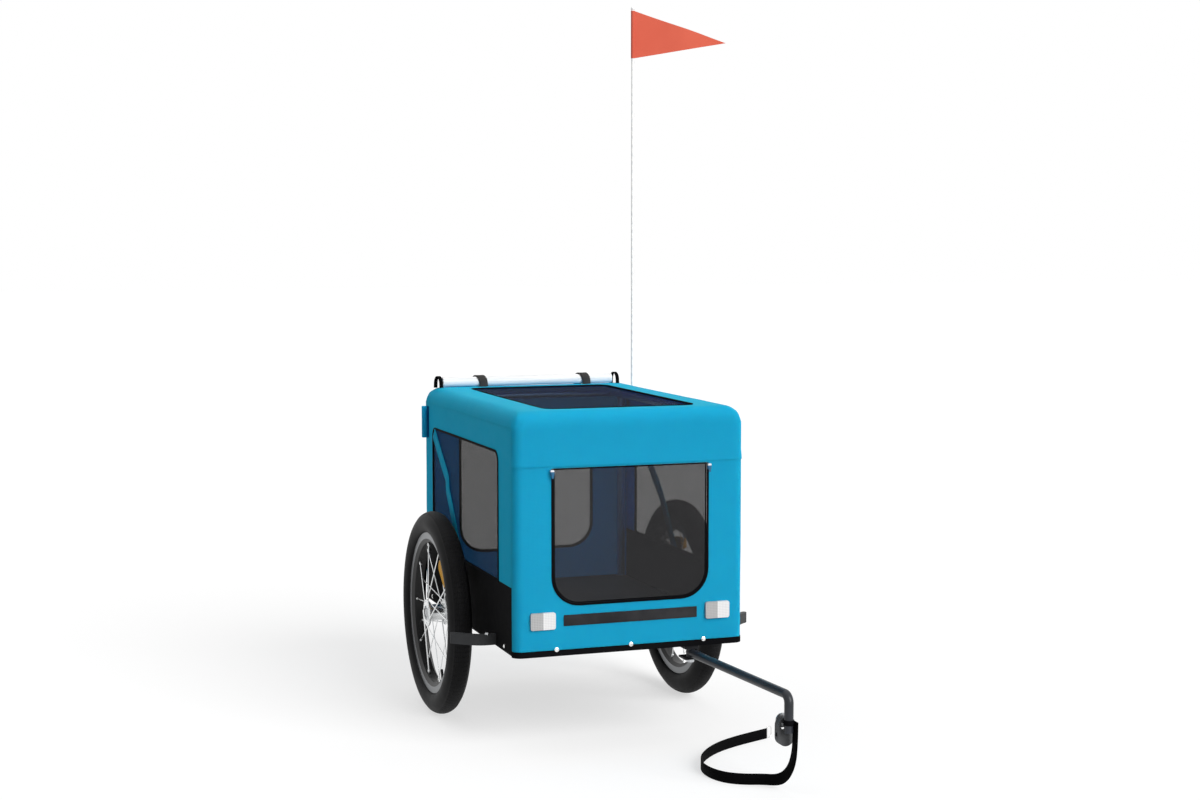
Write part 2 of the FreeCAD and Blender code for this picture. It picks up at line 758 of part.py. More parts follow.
def guard_nodes():
    """The bars that keep clothes and kerbs off the tyres, with their screws."""
    level = guard_foot + guard_height / 2
    elbow = V(half_width + guard_reach, guard_place, level)
    tip = elbow + V(guard_tip_out, guard_tip_back, 0)
    guard, _ = band([V(frame_half, guard_place, level), elbow, tip], Z_AXIS, guard_height, guard_thickness)
    reach = Z_AXIS * (guard_height / 2)
    guard = guard.fuse(rod(tip - reach, tip + reach, guard_thickness / 2)).removeSplitter()
    seat = V(half_width + guard_screw_reach, guard_place, guard_foot + guard_height)
    screw = Part.makeCone(guard_screw_radius, guard_screw_face_radius, guard_screw_height, seat, Z_AXIS)
    return {"wheel_guards": Part.makeCompound([mirrored(guard), guard]),
            "guard_screws": Part.makeCompound([mirrored(screw), screw])}


# Wheels, built about the axle's line and then moved to their planes

def turned(points):
    """A solid turned about the axle from corners (along, radius)."""
    loop = [V(x, r, 0) for x, r in points]
    return Part.Face(Part.makePolygon(loop + loop[:1])).revolve(HERE, X_AXIS, 360)


def tyre():
    """The tyre's casing: a round section that opens inwards between its two beads."""
    section = tyre_width / 2
    centre = wheel_radius - section
    inner = section - tyre_wall
    bead = rim_width / 2 - rim_flange - seat_gap
    bead_inner = bead - bead_thickness
    edge = rim_edge_radius + seat_gap
    foot = rim_seat_radius + seat_gap
    shoulder = math.sqrt(section ** 2 - (centre - edge) ** 2)
    throat = centre - math.sqrt(inner ** 2 - bead_inner ** 2)
    outline = [
        Part.LineSegment(V(-bead, foot, 0), V(-bead, edge, 0)),
        Part.LineSegment(V(-bead, edge, 0), V(-shoulder, edge, 0)),
        Part.Arc(V(-shoulder, edge, 0), V(0, wheel_radius, 0), V(shoulder, edge, 0)),
        Part.LineSegment(V(shoulder, edge, 0), V(bead, edge, 0)),
        Part.LineSegment(V(bead, edge, 0), V(bead, foot, 0)),
        Part.LineSegment(V(bead, foot, 0), V(bead_inner, foot, 0)),
        Part.LineSegment(V(bead_inner, foot, 0), V(bead_inner, throat, 0)),
        Part.Arc(V(bead_inner, throat, 0), V(0, centre + inner, 0), V(-bead_inner, throat, 0)),
        Part.LineSegment(V(-bead_inner, throat, 0), V(-bead_inner, foot, 0)),
        Part.LineSegment(V(-bead_inner, foot, 0), V(-bead, foot, 0)),
    ]
    section_face = Part.Face(Part.Wire([line.toShape() for line in outline]))
    return section_face.revolve(HERE, X_AXIS, 360)


def rim():
    """The rim: a channel for the beads over a narrower floor that the spokes pull on."""
    half = rim_width / 2
    inner = half - rim_flange
    floor = rim_floor_width / 2
    return turned([(-half, rim_edge_radius), (-half, rim_shoulder_radius), (-floor, rim_inner_radius),
                   (floor, rim_inner_radius), (half, rim_shoulder_radius), (half, rim_edge_radius),
                   (inner, rim_edge_radius), (inner, rim_seat_radius), (-inner, rim_seat_radius),
                   (-inner, rim_edge_radius)])


def bearing_places():
    """The outer and inner end of each bearing's seat in the hub."""
    outer = hub_length / 2 - bearing_recess
    return [(V(side * outer, 0, 0), V(side * (outer - bearing_width), 0, 0)) for side in SIDES.values()]


def hub():
    """The hub shell with its two flanges and, at each end, a recess down to a bearing."""
    half = hub_length / 2
    shell = rod(V(-half, 0, 0), V(half, 0, 0), hub_radius)
    for side in SIDES.values():
        middle = V(side * flange_spacing / 2, 0, 0)
        reach = X_AXIS * (flange_thickness / 2)
        shell = shell.fuse(rod(middle - reach, middle + reach, flange_radius))
    shell = shell.cut(rod(V(-half, 0, 0), V(half, 0, 0), hub_bore_radius))
    for side, (_, end) in zip(SIDES.values(), bearing_places()):
        shell = shell.cut(rod(V(side * half, 0, 0), end, bearing_radius))
    return shell


def bearings():
    """The two bearings that carry the hub on the stub axle."""
    rings = [ring(start, end, bearing_radius, axle_hole_radius) for start, end in bearing_places()]
    return Part.makeCompound(rings)


def spoke_line(side, number):
    """The ends of one spoke's straight run, at its flange and in the rim."""
    lead = 1 if number % 2 == 0 else -1
    step = 360.0 / spokes_per_flange
    hub_angle = math.radians(number * step + (step / 2 if side > 0 else 0))
    rim_angle = hub_angle + lead * math.radians(spoke_lead_deg)
    reach = rim_inner_radius + spoke_bite
    circle = spoke_circle_radius
    start = V(side * flange_spacing / 2 + lead * spoke_set_off,
              circle * math.cos(hub_angle), circle * math.sin(hub_angle))
    end = V(side * spoke_rim_off, reach * math.cos(rim_angle), reach * math.sin(rim_angle))
    return start, end


def spoke(side, number):
    """One spoke with its bent head in the flange and its nipple in the rim."""
    lead = 1 if number % 2 == 0 else -1
    start, end = spoke_line(side, number)
    direction = (end - start).normalize()
    head = start - X_AXIS * (lead * (spoke_set_off + flange_thickness / 2 + spoke_head))
    shape = rod(start, end, spoke_radius)
    shape = shape.fuse(rod(end - direction * nipple_length, end, nipple_radius))
    return shape.fuse(rod(start, head, spoke_radius)).fuse(Part.makeSphere(spoke_radius, start))


def wheel_nodes(name, side):
    """The pieces of one wheel, at its place."""
    all_spokes = []
    for flange in SIDES.values():
        for number in range(spokes_per_flange):
            all_spokes.append(spoke(flange, number))
    plate = rounded_box((-wheel_reflector_length / 2, wheel_reflector_length / 2),
                        (-wheel_reflector_height / 2, wheel_reflector_height / 2), wheel_reflector_round,
                        lambda u, v: V(-wheel_reflector_thickness / 2, u, v + wheel_reflector_circle),
                        X_AXIS * wheel_reflector_thickness)
    for flange in SIDES.values():
        for number in range(spokes_per_flange):
            channel = rod(*spoke_line(flange, number), spoke_radius + seat_gap)
            plate = plate.cut(channel)
    shapes = {"tyre": tyre(), "rim": rim(), "hub": hub(), "hub_bearings": bearings(),
              "spokes": Part.makeCompound(all_spokes), "spoke_reflector": plate}
    nodes = {}
    for piece, shape in shapes.items():
        shape.rotate(HERE, X_AXIS, 90.0 - reflector_angle_deg[name])
        shape.translate(V(side * wheel_plane, 0, wheel_radius))
        nodes[f"{piece}_{name}"] = shape
    return nodes


# Drawbar, coupling and strap

def drawbar_nodes():
    """The bracket under the front rail, its pivot bolt, the drawbar and what hangs at its end."""
    nodes = {}
    pivot = V(drawbar_pivot_x, drawbar_pivot_y, drawbar_level)
    tube_foot = drawbar_level - drawbar_radius
    plate_top = tube_foot - seat_gap
    plate_foot = plate_top - drawbar_plate
    roof_foot = drawbar_level + drawbar_radius + seat_gap
    web = drawbar_pivot_x + drawbar_radius + panel_gap + seat_gap
    across = (drawbar_pivot_x - drawbar_bracket_inner, web + drawbar_web)
    along = (drawbar_pivot_y - drawbar_bracket_front, drawbar_pivot_y + drawbar_bracket_rear)
    bracket = box(across, along, (roof_foot, cabin_bottom))
    bracket = bracket.fuse(box(across, along, (plate_foot, plate_top)))
    bracket = bracket.fuse(box((web, web + drawbar_web), along, (plate_foot, cabin_bottom)))
    hole_radius = pivot_radius + running_clearance
    hole = rod(V(pivot.x, pivot.y, plate_foot - 1), V(pivot.x, pivot.y, cabin_bottom + 1), hole_radius)
    nodes["drawbar_bracket"] = bracket.removeSplitter().cut(hole)
    nut_foot = cabin_bottom + rail_wall
    nut_top = nut_foot + pivot_nut_height
    seat = V(pivot.x, pivot.y, plate_foot)
    head = hexagon(seat - Z_AXIS * pivot_head_height, seat, pivot_head_radius)
    nodes["pivot_bolt"] = rod(seat, V(pivot.x, pivot.y, nut_top + pivot_end), pivot_radius).fuse(head)
    nut = hexagon(V(pivot.x, pivot.y, nut_foot), V(pivot.x, pivot.y, nut_top), pivot_head_radius)
    nut_hole = rod(V(pivot.x, pivot.y, cabin_bottom), V(pivot.x, pivot.y, nut_top + 1), hole_radius)
    nodes["pivot_nut"] = nut.cut(nut_hole)

    corner = V(drop_x, drop_y, drawbar_level)
    back = (pivot - corner).normalize()
    bend_start = corner + back * drawbar_bend
    bend_end = corner - Z_AXIS * drawbar_bend
    bend_middle = corner + (back - Z_AXIS) * (drawbar_bend * (1 - math.sqrt(0.5)))
    path = Part.Wire([
        Part.LineSegment(pivot, bend_start).toShape(),
        Part.Arc(bend_start, bend_middle, bend_end).toShape(),
        Part.LineSegment(bend_end, V(drop_x, drop_y, drop_end)).toShape(),
    ])
    tube = pipe(path, pivot, back, drawbar_radius, drawbar_radius - drawbar_wall)
    reach = Z_AXIS * drawbar_radius
    tube = tube.fuse(rod(pivot - reach, pivot + reach, drawbar_radius)).cut(hole)
    pin_start = V(drop_x, drop_y, coupling_pin_level)
    pin_end = V(drop_x, tongue_rear + seat_gap, coupling_pin_level)
    pin_hole = rod(pin_start, pin_end, coupling_pin_radius + running_clearance)
    nodes["drawbar_tube"] = tube.cut(pin_hole)
    washer_end = pin_end + Y_AXIS * coupling_washer_thickness
    nut_end = washer_end + Y_AXIS * coupling_nut_height
    pin = rod(pin_start, washer_end, coupling_pin_radius)
    pin = pin.fuse(rod(pin_end, washer_end, coupling_washer_radius))
    nodes["coupling_pin"] = pin.fuse(hexagon(washer_end, nut_end, coupling_nut_radius)).removeSplitter()

    half = tongue_width / 2
    low_round = tongue_foot + half
    high_round = tongue_top - half
    tongue = box((drop_x - half, drop_x + half), (tongue_front, tongue_rear), (low_round, high_round))
    for level in (low_round, high_round):
        tongue = tongue.fuse(rod(V(drop_x, tongue_front, level), V(drop_x, tongue_rear, level), half))
    tongue = tongue.removeSplitter()
    eye = V(drop_x, tongue_front - 1, eye_level)
    tongue = tongue.cut(rod(eye, eye + Y_AXIS * (tongue_thickness + 2), eye_radius))
    bore_reach = X_AXIS * tongue_width
    nodes["coupling_tongue"] = tongue.cut(rod(origin - bore_reach, origin + bore_reach, hitch_bore_radius))
    return nodes


def strap_nodes():
    """The safety strap, looped round the drawbar's end, and the ring at its far end."""
    drop = V(drop_x, drop_y, 0)
    route = [drop + V(x, y, 0) for x, y in strap_route]
    wall, length = band(route, Z_AXIS, 2 * strap_loop_top, strap_thickness, "safety strap")
    hung = ((strap_fall_back[-1][0], strap_loop_top), (strap_fall_front[0][0], strap_loop_top))
    fall = [drop + V(-drop_x, y, z) for y, z in strap_fall_front + strap_fall_back + hung]
    profile = Part.Face(Part.makePolygon(fall + fall[:1]))
    strap = wall.common(profile.extrude(X_AXIS * cabin_width))
    print("safety strap plan length", round(length, 1), "volume over width and thickness",
          round(strap.Volume / strap_width / strap_thickness, 1))
    top = drop + Z_AXIS * strap_loop_top
    loop = ring(top - Z_AXIS * strap_width, top, loop_radius, loop_radius - strap_loop_thickness)
    strap = strap.fuse(loop)
    pin = V(drop_x, drop_y, coupling_pin_level)
    strap = strap.cut(rod(pin, pin + Y_AXIS * (2 * loop_radius), coupling_pin_radius + seat_gap))

    end = route[-1]
    along = (end - route[-2]).normalize()
    near = ring_wire_radius + seat_gap
    far = near + ring_length
    low = ring_wire_radius
    high = strap_width + 2 * ring_wire_radius
    corners = [(near, low, ring_corner), (far, low, ring_round), (far, high, ring_round),
               (near, high, ring_corner)]
    outline = rounded_face(corners, lambda u, v: end + along * u + Z_AXIS * v).OuterWire
    first = outline.OrderedEdges[0]
    start = first.valueAt(first.FirstParameter)
    circle = Part.Circle(start, first.tangentAt(first.FirstParameter), ring_wire_radius)
    wire = outline.makePipeShell([Part.Wire(circle.toShape())], True, False)
    return {"safety_strap": strap, "strap_ring": wire}


# Flag

def on_pole(level):
    """The point of the pole's axis at a level."""
    return V(pole_x, pole_place, level)


def pole_holder(foot, top):
    """A round sleeve for the pole on a flat tab against the cabin's right side, not yet bored."""
    tab = (half_width, half_width + sleeve_tab_thickness)
    tab_along = (pole_place - sleeve_tab_length / 2, pole_place + sleeve_tab_length / 2)
    sleeve = rod(on_pole(foot), on_pole(top), sleeve_radius)
    return sleeve.fuse(box(tab, tab_along, (foot, top))).removeSplitter()


def flag_nodes():
    """The pole, its sleeves and socket on the cabin's sides, and the pennant."""
    nodes = {}
    sleeve = pole_holder(sleeve_foot, sleeve_top)
    sleeve = sleeve.cut(rod(on_pole(sleeve_foot - 1), on_pole(sleeve_top + 1), sleeve_bore_radius))
    nodes["flag_sleeves"] = Part.makeCompound([mirrored(sleeve), sleeve])
    cup_floor = on_pole(socket_foot + socket_floor)
    cup_bore = rod(cup_floor, on_pole(socket_top + 1), pole_radius + seat_gap)
    nodes["flag_socket"] = pole_holder(socket_foot, socket_top).cut(cup_bore)
    pole_foot = cup_floor + Z_AXIS * seat_gap
    cap = on_pole(pole_top + seat_gap + pole_cap_radius)
    nodes["flag_pole"] = rod(pole_foot, cap, pole_radius).fuse(Part.makeSphere(pole_cap_radius, cap))
    hem_bore = pole_radius + running_clearance
    hem_outer = hem_bore + pennant_hem_wall
    hem_foot = on_pole(pennant_foot)
    hem_top = on_pole(pole_top)
    tip = on_pole(pennant_tip_level) + X_AXIS * pennant_reach
    outline = Part.makePolygon([hem_foot, hem_top, tip, hem_foot])
    blade = Part.Face(outline).extrude(Y_AXIS * pennant_thickness)
    blade.translate(Y_AXIS * (-pennant_thickness / 2))
    pennant = rod(hem_foot, hem_top, hem_outer).fuse(blade)
    nodes["pennant"] = pennant.cut(rod(hem_foot - Z_AXIS, hem_top + Z_AXIS, hem_bore))
    return nodes


def main():
    """Builds every node, moves it to the part's origin and writes it."""
    nodes = {}
    for make in (cover_nodes, door_nodes, trim_nodes, frame_nodes, guard_nodes, drawbar_nodes, strap_nodes,
                 flag_nodes):
        nodes.update(make())
    for name, side in SIDES.items():
        nodes.update(wheel_nodes(name, side))
    os.makedirs("parts", exist_ok=True)
    for name, shape in nodes.items():
        shape.translate(origin * -1)
        if not shape.isValid():
            print("not valid:", name)
        shape.exportStep(f"parts/{name}.step")
    print(len(nodes), "nodes")


main()
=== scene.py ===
"""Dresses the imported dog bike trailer: its cover, mesh windows, tyres, webbing, flag and finishes."""

from __future__ import annotations

import json
import logging
import math
from contextlib import contextmanager
from dataclasses import dataclass
from enum import Enum
from typing import Any, Callable, Iterator, Optional, Sequence

import bmesh
import bpy
from mathutils import Matrix, Vector

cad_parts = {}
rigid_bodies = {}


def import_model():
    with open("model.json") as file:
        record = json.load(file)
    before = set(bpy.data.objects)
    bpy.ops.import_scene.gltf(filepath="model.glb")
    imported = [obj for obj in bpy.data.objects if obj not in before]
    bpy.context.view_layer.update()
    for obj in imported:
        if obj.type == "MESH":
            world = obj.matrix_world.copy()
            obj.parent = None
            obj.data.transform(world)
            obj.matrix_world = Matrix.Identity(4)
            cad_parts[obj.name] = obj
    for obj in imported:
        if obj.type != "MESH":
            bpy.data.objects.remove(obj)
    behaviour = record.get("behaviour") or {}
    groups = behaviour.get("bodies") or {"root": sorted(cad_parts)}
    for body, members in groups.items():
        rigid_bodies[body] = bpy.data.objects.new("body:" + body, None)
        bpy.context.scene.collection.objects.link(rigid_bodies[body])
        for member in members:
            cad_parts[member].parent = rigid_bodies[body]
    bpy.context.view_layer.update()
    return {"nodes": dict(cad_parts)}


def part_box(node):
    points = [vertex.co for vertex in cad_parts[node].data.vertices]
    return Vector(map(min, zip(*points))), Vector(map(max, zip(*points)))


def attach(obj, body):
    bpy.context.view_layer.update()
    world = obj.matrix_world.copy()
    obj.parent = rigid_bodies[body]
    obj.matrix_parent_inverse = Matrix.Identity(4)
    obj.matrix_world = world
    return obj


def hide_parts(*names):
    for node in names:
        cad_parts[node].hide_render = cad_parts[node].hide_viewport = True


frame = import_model()

LOG = logging.getLogger("trailer")
MM = 0.001
ALIGNED = 0.9  # least share of a direction along an axis that counts as facing it
SHADER = "Principled BSDF"
WHITE = (1.0, 1.0, 1.0, 1.0)

Pair = tuple[float, float]
Triple = tuple[float, float, float]
Piece = bpy.types.Object
Tree = bpy.types.NodeTree
Socket = bpy.types.NodeSocket
Test = Callable[[Vector, Vector], bool]


class Axis(Enum):
    """One of the frame's axes: X across the trailer, Y along it, Z up."""

    X = 0
    Y = 1
    Z = 2

    @property
    def vector(self) -> Vector:
        """The axis as a unit vector."""
        return Vector([float(index == self.value) for index in range(3)])

    @property
    def others(self) -> tuple[int, int]:
        """The two other axes' numbers, in X, Y, Z order."""
        first, second = [index for index in range(3) if index != self.value]
        return first, second


class Side(Enum):
    """The trailer's sides as seen from its front."""

    LEFT = -1
    RIGHT = 1

    @property
    def word(self) -> str:
        """The side's name in lower case, as the nodes spell it."""
        return self.name.lower()

    def outer(self, low: Vector, high: Vector) -> float:
        """Where a box with these corners ends on this side."""
        return low.x if self is Side.LEFT else high.x


class Element(Enum):
    """What a selection picks in an open mesh."""

    VERT = "VERT"
    EDGE = "EDGE"
    FACE = "FACE"


def linear(code: str) -> tuple[float, float, float, float]:
    """Turns an sRGB hex colour into linear red, green, blue and alpha.

    Args:
        code: the colour as "#RRGGBB".

    Returns:
        The four linear values, with alpha 1.
    """
    values = [int(code[place : place + 2], 16) / 255 for place in (1, 3, 5)]
    red, green, blue = [c / 12.92 if c <= 0.04045 else ((c + 0.055) / 1.055) ** 2.4 for c in values]
    return red, green, blue, 1.0


def add_node(
    tree: Tree,
    kind: str,
    inputs: Optional[dict[Any, Any]] = None,
    output: Any = 0,
    feeds: str = "",
    stops: Sequence[tuple[float, str]] = (),
    **settings: Any,
) -> Socket:
    """Adds a shader node with its settings and links.

    Args:
        tree: the nodes of a material or of the world.
        kind: the node's type name, without the start that all share.
        inputs: socket name or number to a constant, or to the output that it is linked to.
        output: the name or number of the node's output that is used.
        feeds: the surface shader's socket that this output is linked to, if any.
        stops: places and hex colours of a colour ramp.
        settings: the node's own properties.

    Returns:
        The output that is used.
    """
    node = tree.nodes.new("ShaderNode" + kind)
    for name, value in settings.items():
        setattr(node, name, value)
    for name, value in (inputs or {}).items():
        if isinstance(value, Socket):
            tree.links.new(value, node.inputs[name])
        else:
            node.inputs[name].default_value = value
    for element, (place, code) in zip(node.color_ramp.elements if stops else (), stops):
        element.position = place
        element.color = linear(code)
    if feeds:
        tree.links.new(node.outputs[output], tree.nodes[SHADER].inputs[feeds])
    return node.outputs[output]


def set_surface(tree: Tree, values: dict[str, Any]) -> None:
    """Sets constants on the surface shader's own sockets."""
    for name, value in values.items():
        tree.nodes[SHADER].inputs[name].default_value = value


def let_light_through(tree: Tree, path_mm: float, share: float = 1.0) -> None:
    """Lets light travel some way inside a thin piece, so that it glows when lit from behind."""
    path = {"Subsurface Radius": (1.0, 1.0, 1.0), "Subsurface Scale": path_mm * MM}
    set_surface(tree, {"Subsurface Weight": share, **path})


def bands(period_mm: float) -> float:
    """The Wave texture's scale for a period in millimetres: its bands repeat every 2 pi / 20 of its space."""
    return 2 * math.pi / 20 / (period_mm * MM)


def grains(size_mm: float) -> float:
    """The Noise texture's scale for a grain of that size in millimetres."""
    return 1 / (size_mm * MM)


def crossed_waves(tree: Tree, place: Socket, period_mm: float, profile: str) -> Socket:
    """Waves across all three axes added up, so that a face of any direction shows two of them.

    Args:
        tree: the material's nodes.
        place: the coordinates to use.
        period_mm: the distance from wave to wave.
        profile: the waves' form.

    Returns:
        The sum, from 0 to 3.
    """
    total = 0.0
    for direction in "XYZ":
        wave = {"Scale": bands(period_mm), "Vector": place}
        wave = add_node(tree, "TexWave", wave, "Fac", bands_direction=direction, wave_profile=profile)
        total = add_node(tree, "Math", {0: total, 1: wave}, operation="ADD")
    return total


class Finish:
    """A surface finish that can be given to pieces; its material is made once."""

    made: dict[Finish, bpy.types.Material] = {}

    def material(self) -> bpy.types.Material:
        """The finish as a Blender material, made at its first use.

        Returns:
            The material, the same one at every call.
        """
        if self not in Finish.made:
            Finish.made[self] = bpy.data.materials.new(self.name)
            Finish.made[self].use_nodes = True
            self.dress(Finish.made[self].node_tree)
        return Finish.made[self]

    def dress(self, tree: Tree) -> None:
        """Adds the finish's own nodes to a new material."""
        raise NotImplementedError


@dataclass(frozen=True)
class CoatedCloth(Finish):
    """Coated polyester: a plain weave under a thin film, matt with a soft sheen and a fine thread relief."""

    name: str
    colour: str
    shade: str
    thread_mm: float = 2.4  # real thread spacing is under 1 mm, drawn coarser so that it shows
    relief_mm: float = 0.12
    roughness: float = 0.6
    gloss: float = 0.01
    light_path_mm: float = 0.0  # how far light travels in the cloth; it lights the cabin through thin walls
    drift_mm: float = 140.0
    scuff_mm: float = 18.0
    scuff: float = 0.08

    def dress(self, tree: Tree) -> None:
        """Weave relief, slow colour drift and a little scuffing.

        Args:
            tree: the new material's nodes.
        """
        place = add_node(tree, "TexCoord", output="Object")
        weave = crossed_waves(tree, place, self.thread_mm, "SIN")
        drift = add_node(tree, "TexNoise", {"Scale": grains(self.drift_mm), "Detail": 3.0, "Vector": place})
        stops = ((0.3, self.shade), (0.7, self.colour))
        add_node(tree, "ValToRGB", {"Fac": drift}, feeds="Base Color", stops=stops)
        scuff = add_node(tree, "TexNoise", {"Scale": grains(self.scuff_mm), "Detail": 4.0, "Vector": place})
        limits = {"To Min": self.roughness - self.scuff, "To Max": self.roughness + self.scuff}
        add_node(tree, "MapRange", {"Value": scuff, **limits}, feeds="Roughness")
        relief = {"Strength": 0.35, "Distance": self.relief_mm * MM, "Height": weave}
        add_node(tree, "Bump", relief, feeds="Normal")
        set_surface(tree, {"Specular IOR Level": self.gloss})
        if self.light_path_mm:
            let_light_through(tree, self.light_path_mm)


@dataclass(frozen=True)
class KnitMesh(Finish):
    """Open polyester knit: black yarn round small holes, so it dims what lies behind it evenly."""

    name: str
    normal: Axis
    turn_deg: float
    colour: str = "#3C3C3D"
    hole_mm: float = 1.2
    hole_edge: float = 0.33
    hole_slope: float = 8.0
    # Of a hole and of the yarn; softer than real, so that two layers don't shimmer.
    cover: Pair = (0.21, 0.61)
    relief_mm: float = 0.2

    def dress(self, tree: Tree) -> None:
        """Holes as alpha between two crossing rows of yarn.

        Args:
            tree: the new material's nodes.
        """
        place = add_node(tree, "TexCoord", output="Object")
        turn = self.normal.vector * math.radians(self.turn_deg)
        place = add_node(tree, "Mapping", {"Rotation": turn, "Vector": place})
        hole = 1.0
        for index in self.normal.others:
            row = {"Scale": bands(self.hole_mm), "Vector": place}
            row = add_node(tree, "TexWave", row, "Fac", bands_direction=Axis(index).name)
            hole = add_node(tree, "Math", {0: hole, 1: row}, operation="MULTIPLY")
        slope = {1: -self.hole_slope, 2: 0.5 + self.hole_slope * self.hole_edge}
        yarn = add_node(tree, "Math", {0: hole, **slope}, operation="MULTIPLY_ADD", use_clamp=True)
        cover = {"To Min": self.cover[0], "To Max": self.cover[1], "Value": yarn}
        add_node(tree, "MapRange", cover, feeds="Alpha")
        relief = {"Strength": 0.5, "Distance": self.relief_mm * MM, "Height": yarn}
        add_node(tree, "Bump", relief, feeds="Normal")
        set_surface(tree, {"Base Color": linear(self.colour), "Roughness": 0.75, "Specular IOR Level": 0.0})


@dataclass(frozen=True)
class Webbing(Finish):
    """Flat woven webbing: cross ribs a millimetre or two apart between two firm edges."""

    name: str
    colour: str
    shade: str
    rib_mm: float = 2.2
    relief_mm: float = 0.35
    light_path_mm: float = 0.0

    def dress(self, tree: Tree) -> None:
        """Ribs along the band's own map, in metres along and across it.

        Args:
            tree: the new material's nodes.
        """
        place = add_node(tree, "TexCoord", output="UV")
        ribs = {"Scale": bands(self.rib_mm), "Distortion": 0.6, "Detail Scale": 2.0, "Vector": place}
        ribs = add_node(tree, "TexWave", ribs, "Fac", bands_direction="X")
        lines = {"Scale": bands(self.rib_mm * 2), "Vector": place}
        lines = add_node(tree, "TexWave", lines, "Fac", bands_direction="Y")
        height = add_node(tree, "Math", {0: ribs, 1: lines}, operation="ADD")
        # painted shade: the rib troughs are coloured darker than their crests
        stops = ((0.1, self.shade), (0.8, self.colour))
        add_node(tree, "ValToRGB", {"Fac": ribs}, feeds="Base Color", stops=stops)
        relief = {"Strength": 0.7, "Distance": self.relief_mm * MM, "Height": height}
        add_node(tree, "Bump", relief, feeds="Normal")
        set_surface(tree, {"Roughness": 0.7, "Specular IOR Level": 0.02})
        if self.light_path_mm:
            let_light_through(tree, self.light_path_mm)


@dataclass(frozen=True)
class Grained(Finish):
    """A hard or rubbery surface with a fine grain: powder coat, moulded plastic, rubber or metal."""

    name: str
    colour: str
    shade: str
    grain_mm: float
    relief_mm: float
    roughness: float
    metallic: float = 0.0
    coat: float = 0.0
    gloss: float = 0.5
    wear_mm: float = 45.0
    wear: float = 0.1
    least_roughness: float = 0.03

    def dress(self, tree: Tree) -> None:
        """Grain relief, a slow drift in tone and rubbed patches that shine a little more.

        Args:
            tree: the new material's nodes.
        """
        place = add_node(tree, "TexCoord", output="Object")
        grain = add_node(tree, "TexNoise", {"Scale": grains(self.grain_mm), "Detail": 2.0, "Vector": place})
        wear = add_node(tree, "TexNoise", {"Scale": grains(self.wear_mm), "Detail": 5.0, "Vector": place})
        stops = ((0.35, self.shade), (0.65, self.colour))
        add_node(tree, "ValToRGB", {"Fac": wear}, feeds="Base Color", stops=stops)
        rubbed = max(self.roughness - self.wear, self.least_roughness)
        limits = {"To Min": self.roughness + self.wear, "To Max": rubbed, "Value": wear}
        add_node(tree, "MapRange", limits, feeds="Roughness")
        relief = {"Strength": 0.4, "Distance": self.relief_mm * MM, "Height": grain}
        add_node(tree, "Bump", relief, feeds="Normal")
        surface = {"Metallic": self.metallic, "Coat Weight": self.coat, "Specular IOR Level": self.gloss}
        set_surface(tree, surface)


@dataclass(frozen=True)
class PrismLens(Finish):
    """Moulded acrylic reflector: small prisms behind a smooth clear face, its facets and one half of it
    darker as painted shade.
    """

    name: str
    colour: str
    shade: str
    prism_mm: float = 3.0
    relief_mm: float = 0.5
    split_places: tuple[float, ...] = ()
    # how bright the half of the lens in painted shade is
    dark_half: float = 0.55
    gloss: float = 0.2
    coat: float = 0.15

    def dress(self, tree: Tree) -> None:
        """Prism relief in both directions, with painted shade on the facets and on the lens's darker half.

        Args:
            tree: the new material's nodes.
        """
        place = add_node(tree, "TexCoord", output="Object")
        height = crossed_waves(tree, place, self.prism_mm, "TRI")
        facet_shade = add_node(tree, "MapRange", {"From Max": 3.0, "Value": height})
        # painted shade: the colour follows the prism relief, darker in its hollows
        stops = ((0.2, self.shade), (0.75, self.colour))
        tone = add_node(tree, "ValToRGB", {"Fac": facet_shade}, stops=stops)
        along = add_node(tree, "SeparateXYZ", {"Vector": place}, "X")
        half = 0.0 if self.split_places else 1.0
        for sign, middle in zip((1.0, -1.0, 1.0), self.split_places):
            step = add_node(tree, "Math", {0: along, 1: middle}, operation="GREATER_THAN")
            half = add_node(tree, "Math", {0: step, 1: sign, 2: half}, operation="MULTIPLY_ADD")
        # painted shade: one half of the lens is dimmed
        dim = add_node(tree, "MapRange", {"To Min": self.dark_half, "To Max": 1.0, "Value": half})
        add_node(tree, "VectorMath", {0: tone, "Scale": dim}, feeds="Base Color", operation="SCALE")
        relief = {"Strength": 0.6, "Distance": self.relief_mm * MM, "Height": height}
        add_node(tree, "Bump", relief, feeds="Normal")
        set_surface(tree, {"Roughness": 0.3, "Specular IOR Level": self.gloss, "Coat Weight": self.coat})


@dataclass(frozen=True)
class RolledFilm(Finish):
    """Clear PVC film wound on itself: milky from its many layers, with long gloss lines painted into its
    colour.
    """

    name: str
    colour: str = "#FFFFFF"
    shade: str = "#EDEFF0"
    streaks_per_m: Triple = (6.0, 180.0, 180.0)
    relief_mm: float = 0.6

    def dress(self, tree: Tree) -> None:
        """Painted gloss: lighter and darker streaks that run along the roll.

        Args:
            tree: the new material's nodes.
        """
        place = add_node(tree, "TexCoord", output="Object")
        drawn = add_node(tree, "Mapping", {"Scale": self.streaks_per_m, "Vector": place})
        streak = add_node(tree, "TexNoise", {"Scale": 1.0, "Detail": 3.0, "Vector": drawn})
        # painted highlight and shade: the streaks lighten and darken the film's colour along the roll
        stops = ((0.35, self.shade), (0.55, self.colour))
        add_node(tree, "ValToRGB", {"Fac": streak}, feeds="Base Color", stops=stops)
        relief = {"Strength": 0.5, "Distance": self.relief_mm * MM, "Height": streak}
        add_node(tree, "Bump", relief, feeds="Normal")
        set_surface(tree, {"Roughness": 0.3, "Specular IOR Level": 0.1, "Alpha": 0.96})
        let_light_through(tree, 3.0, 0.35)


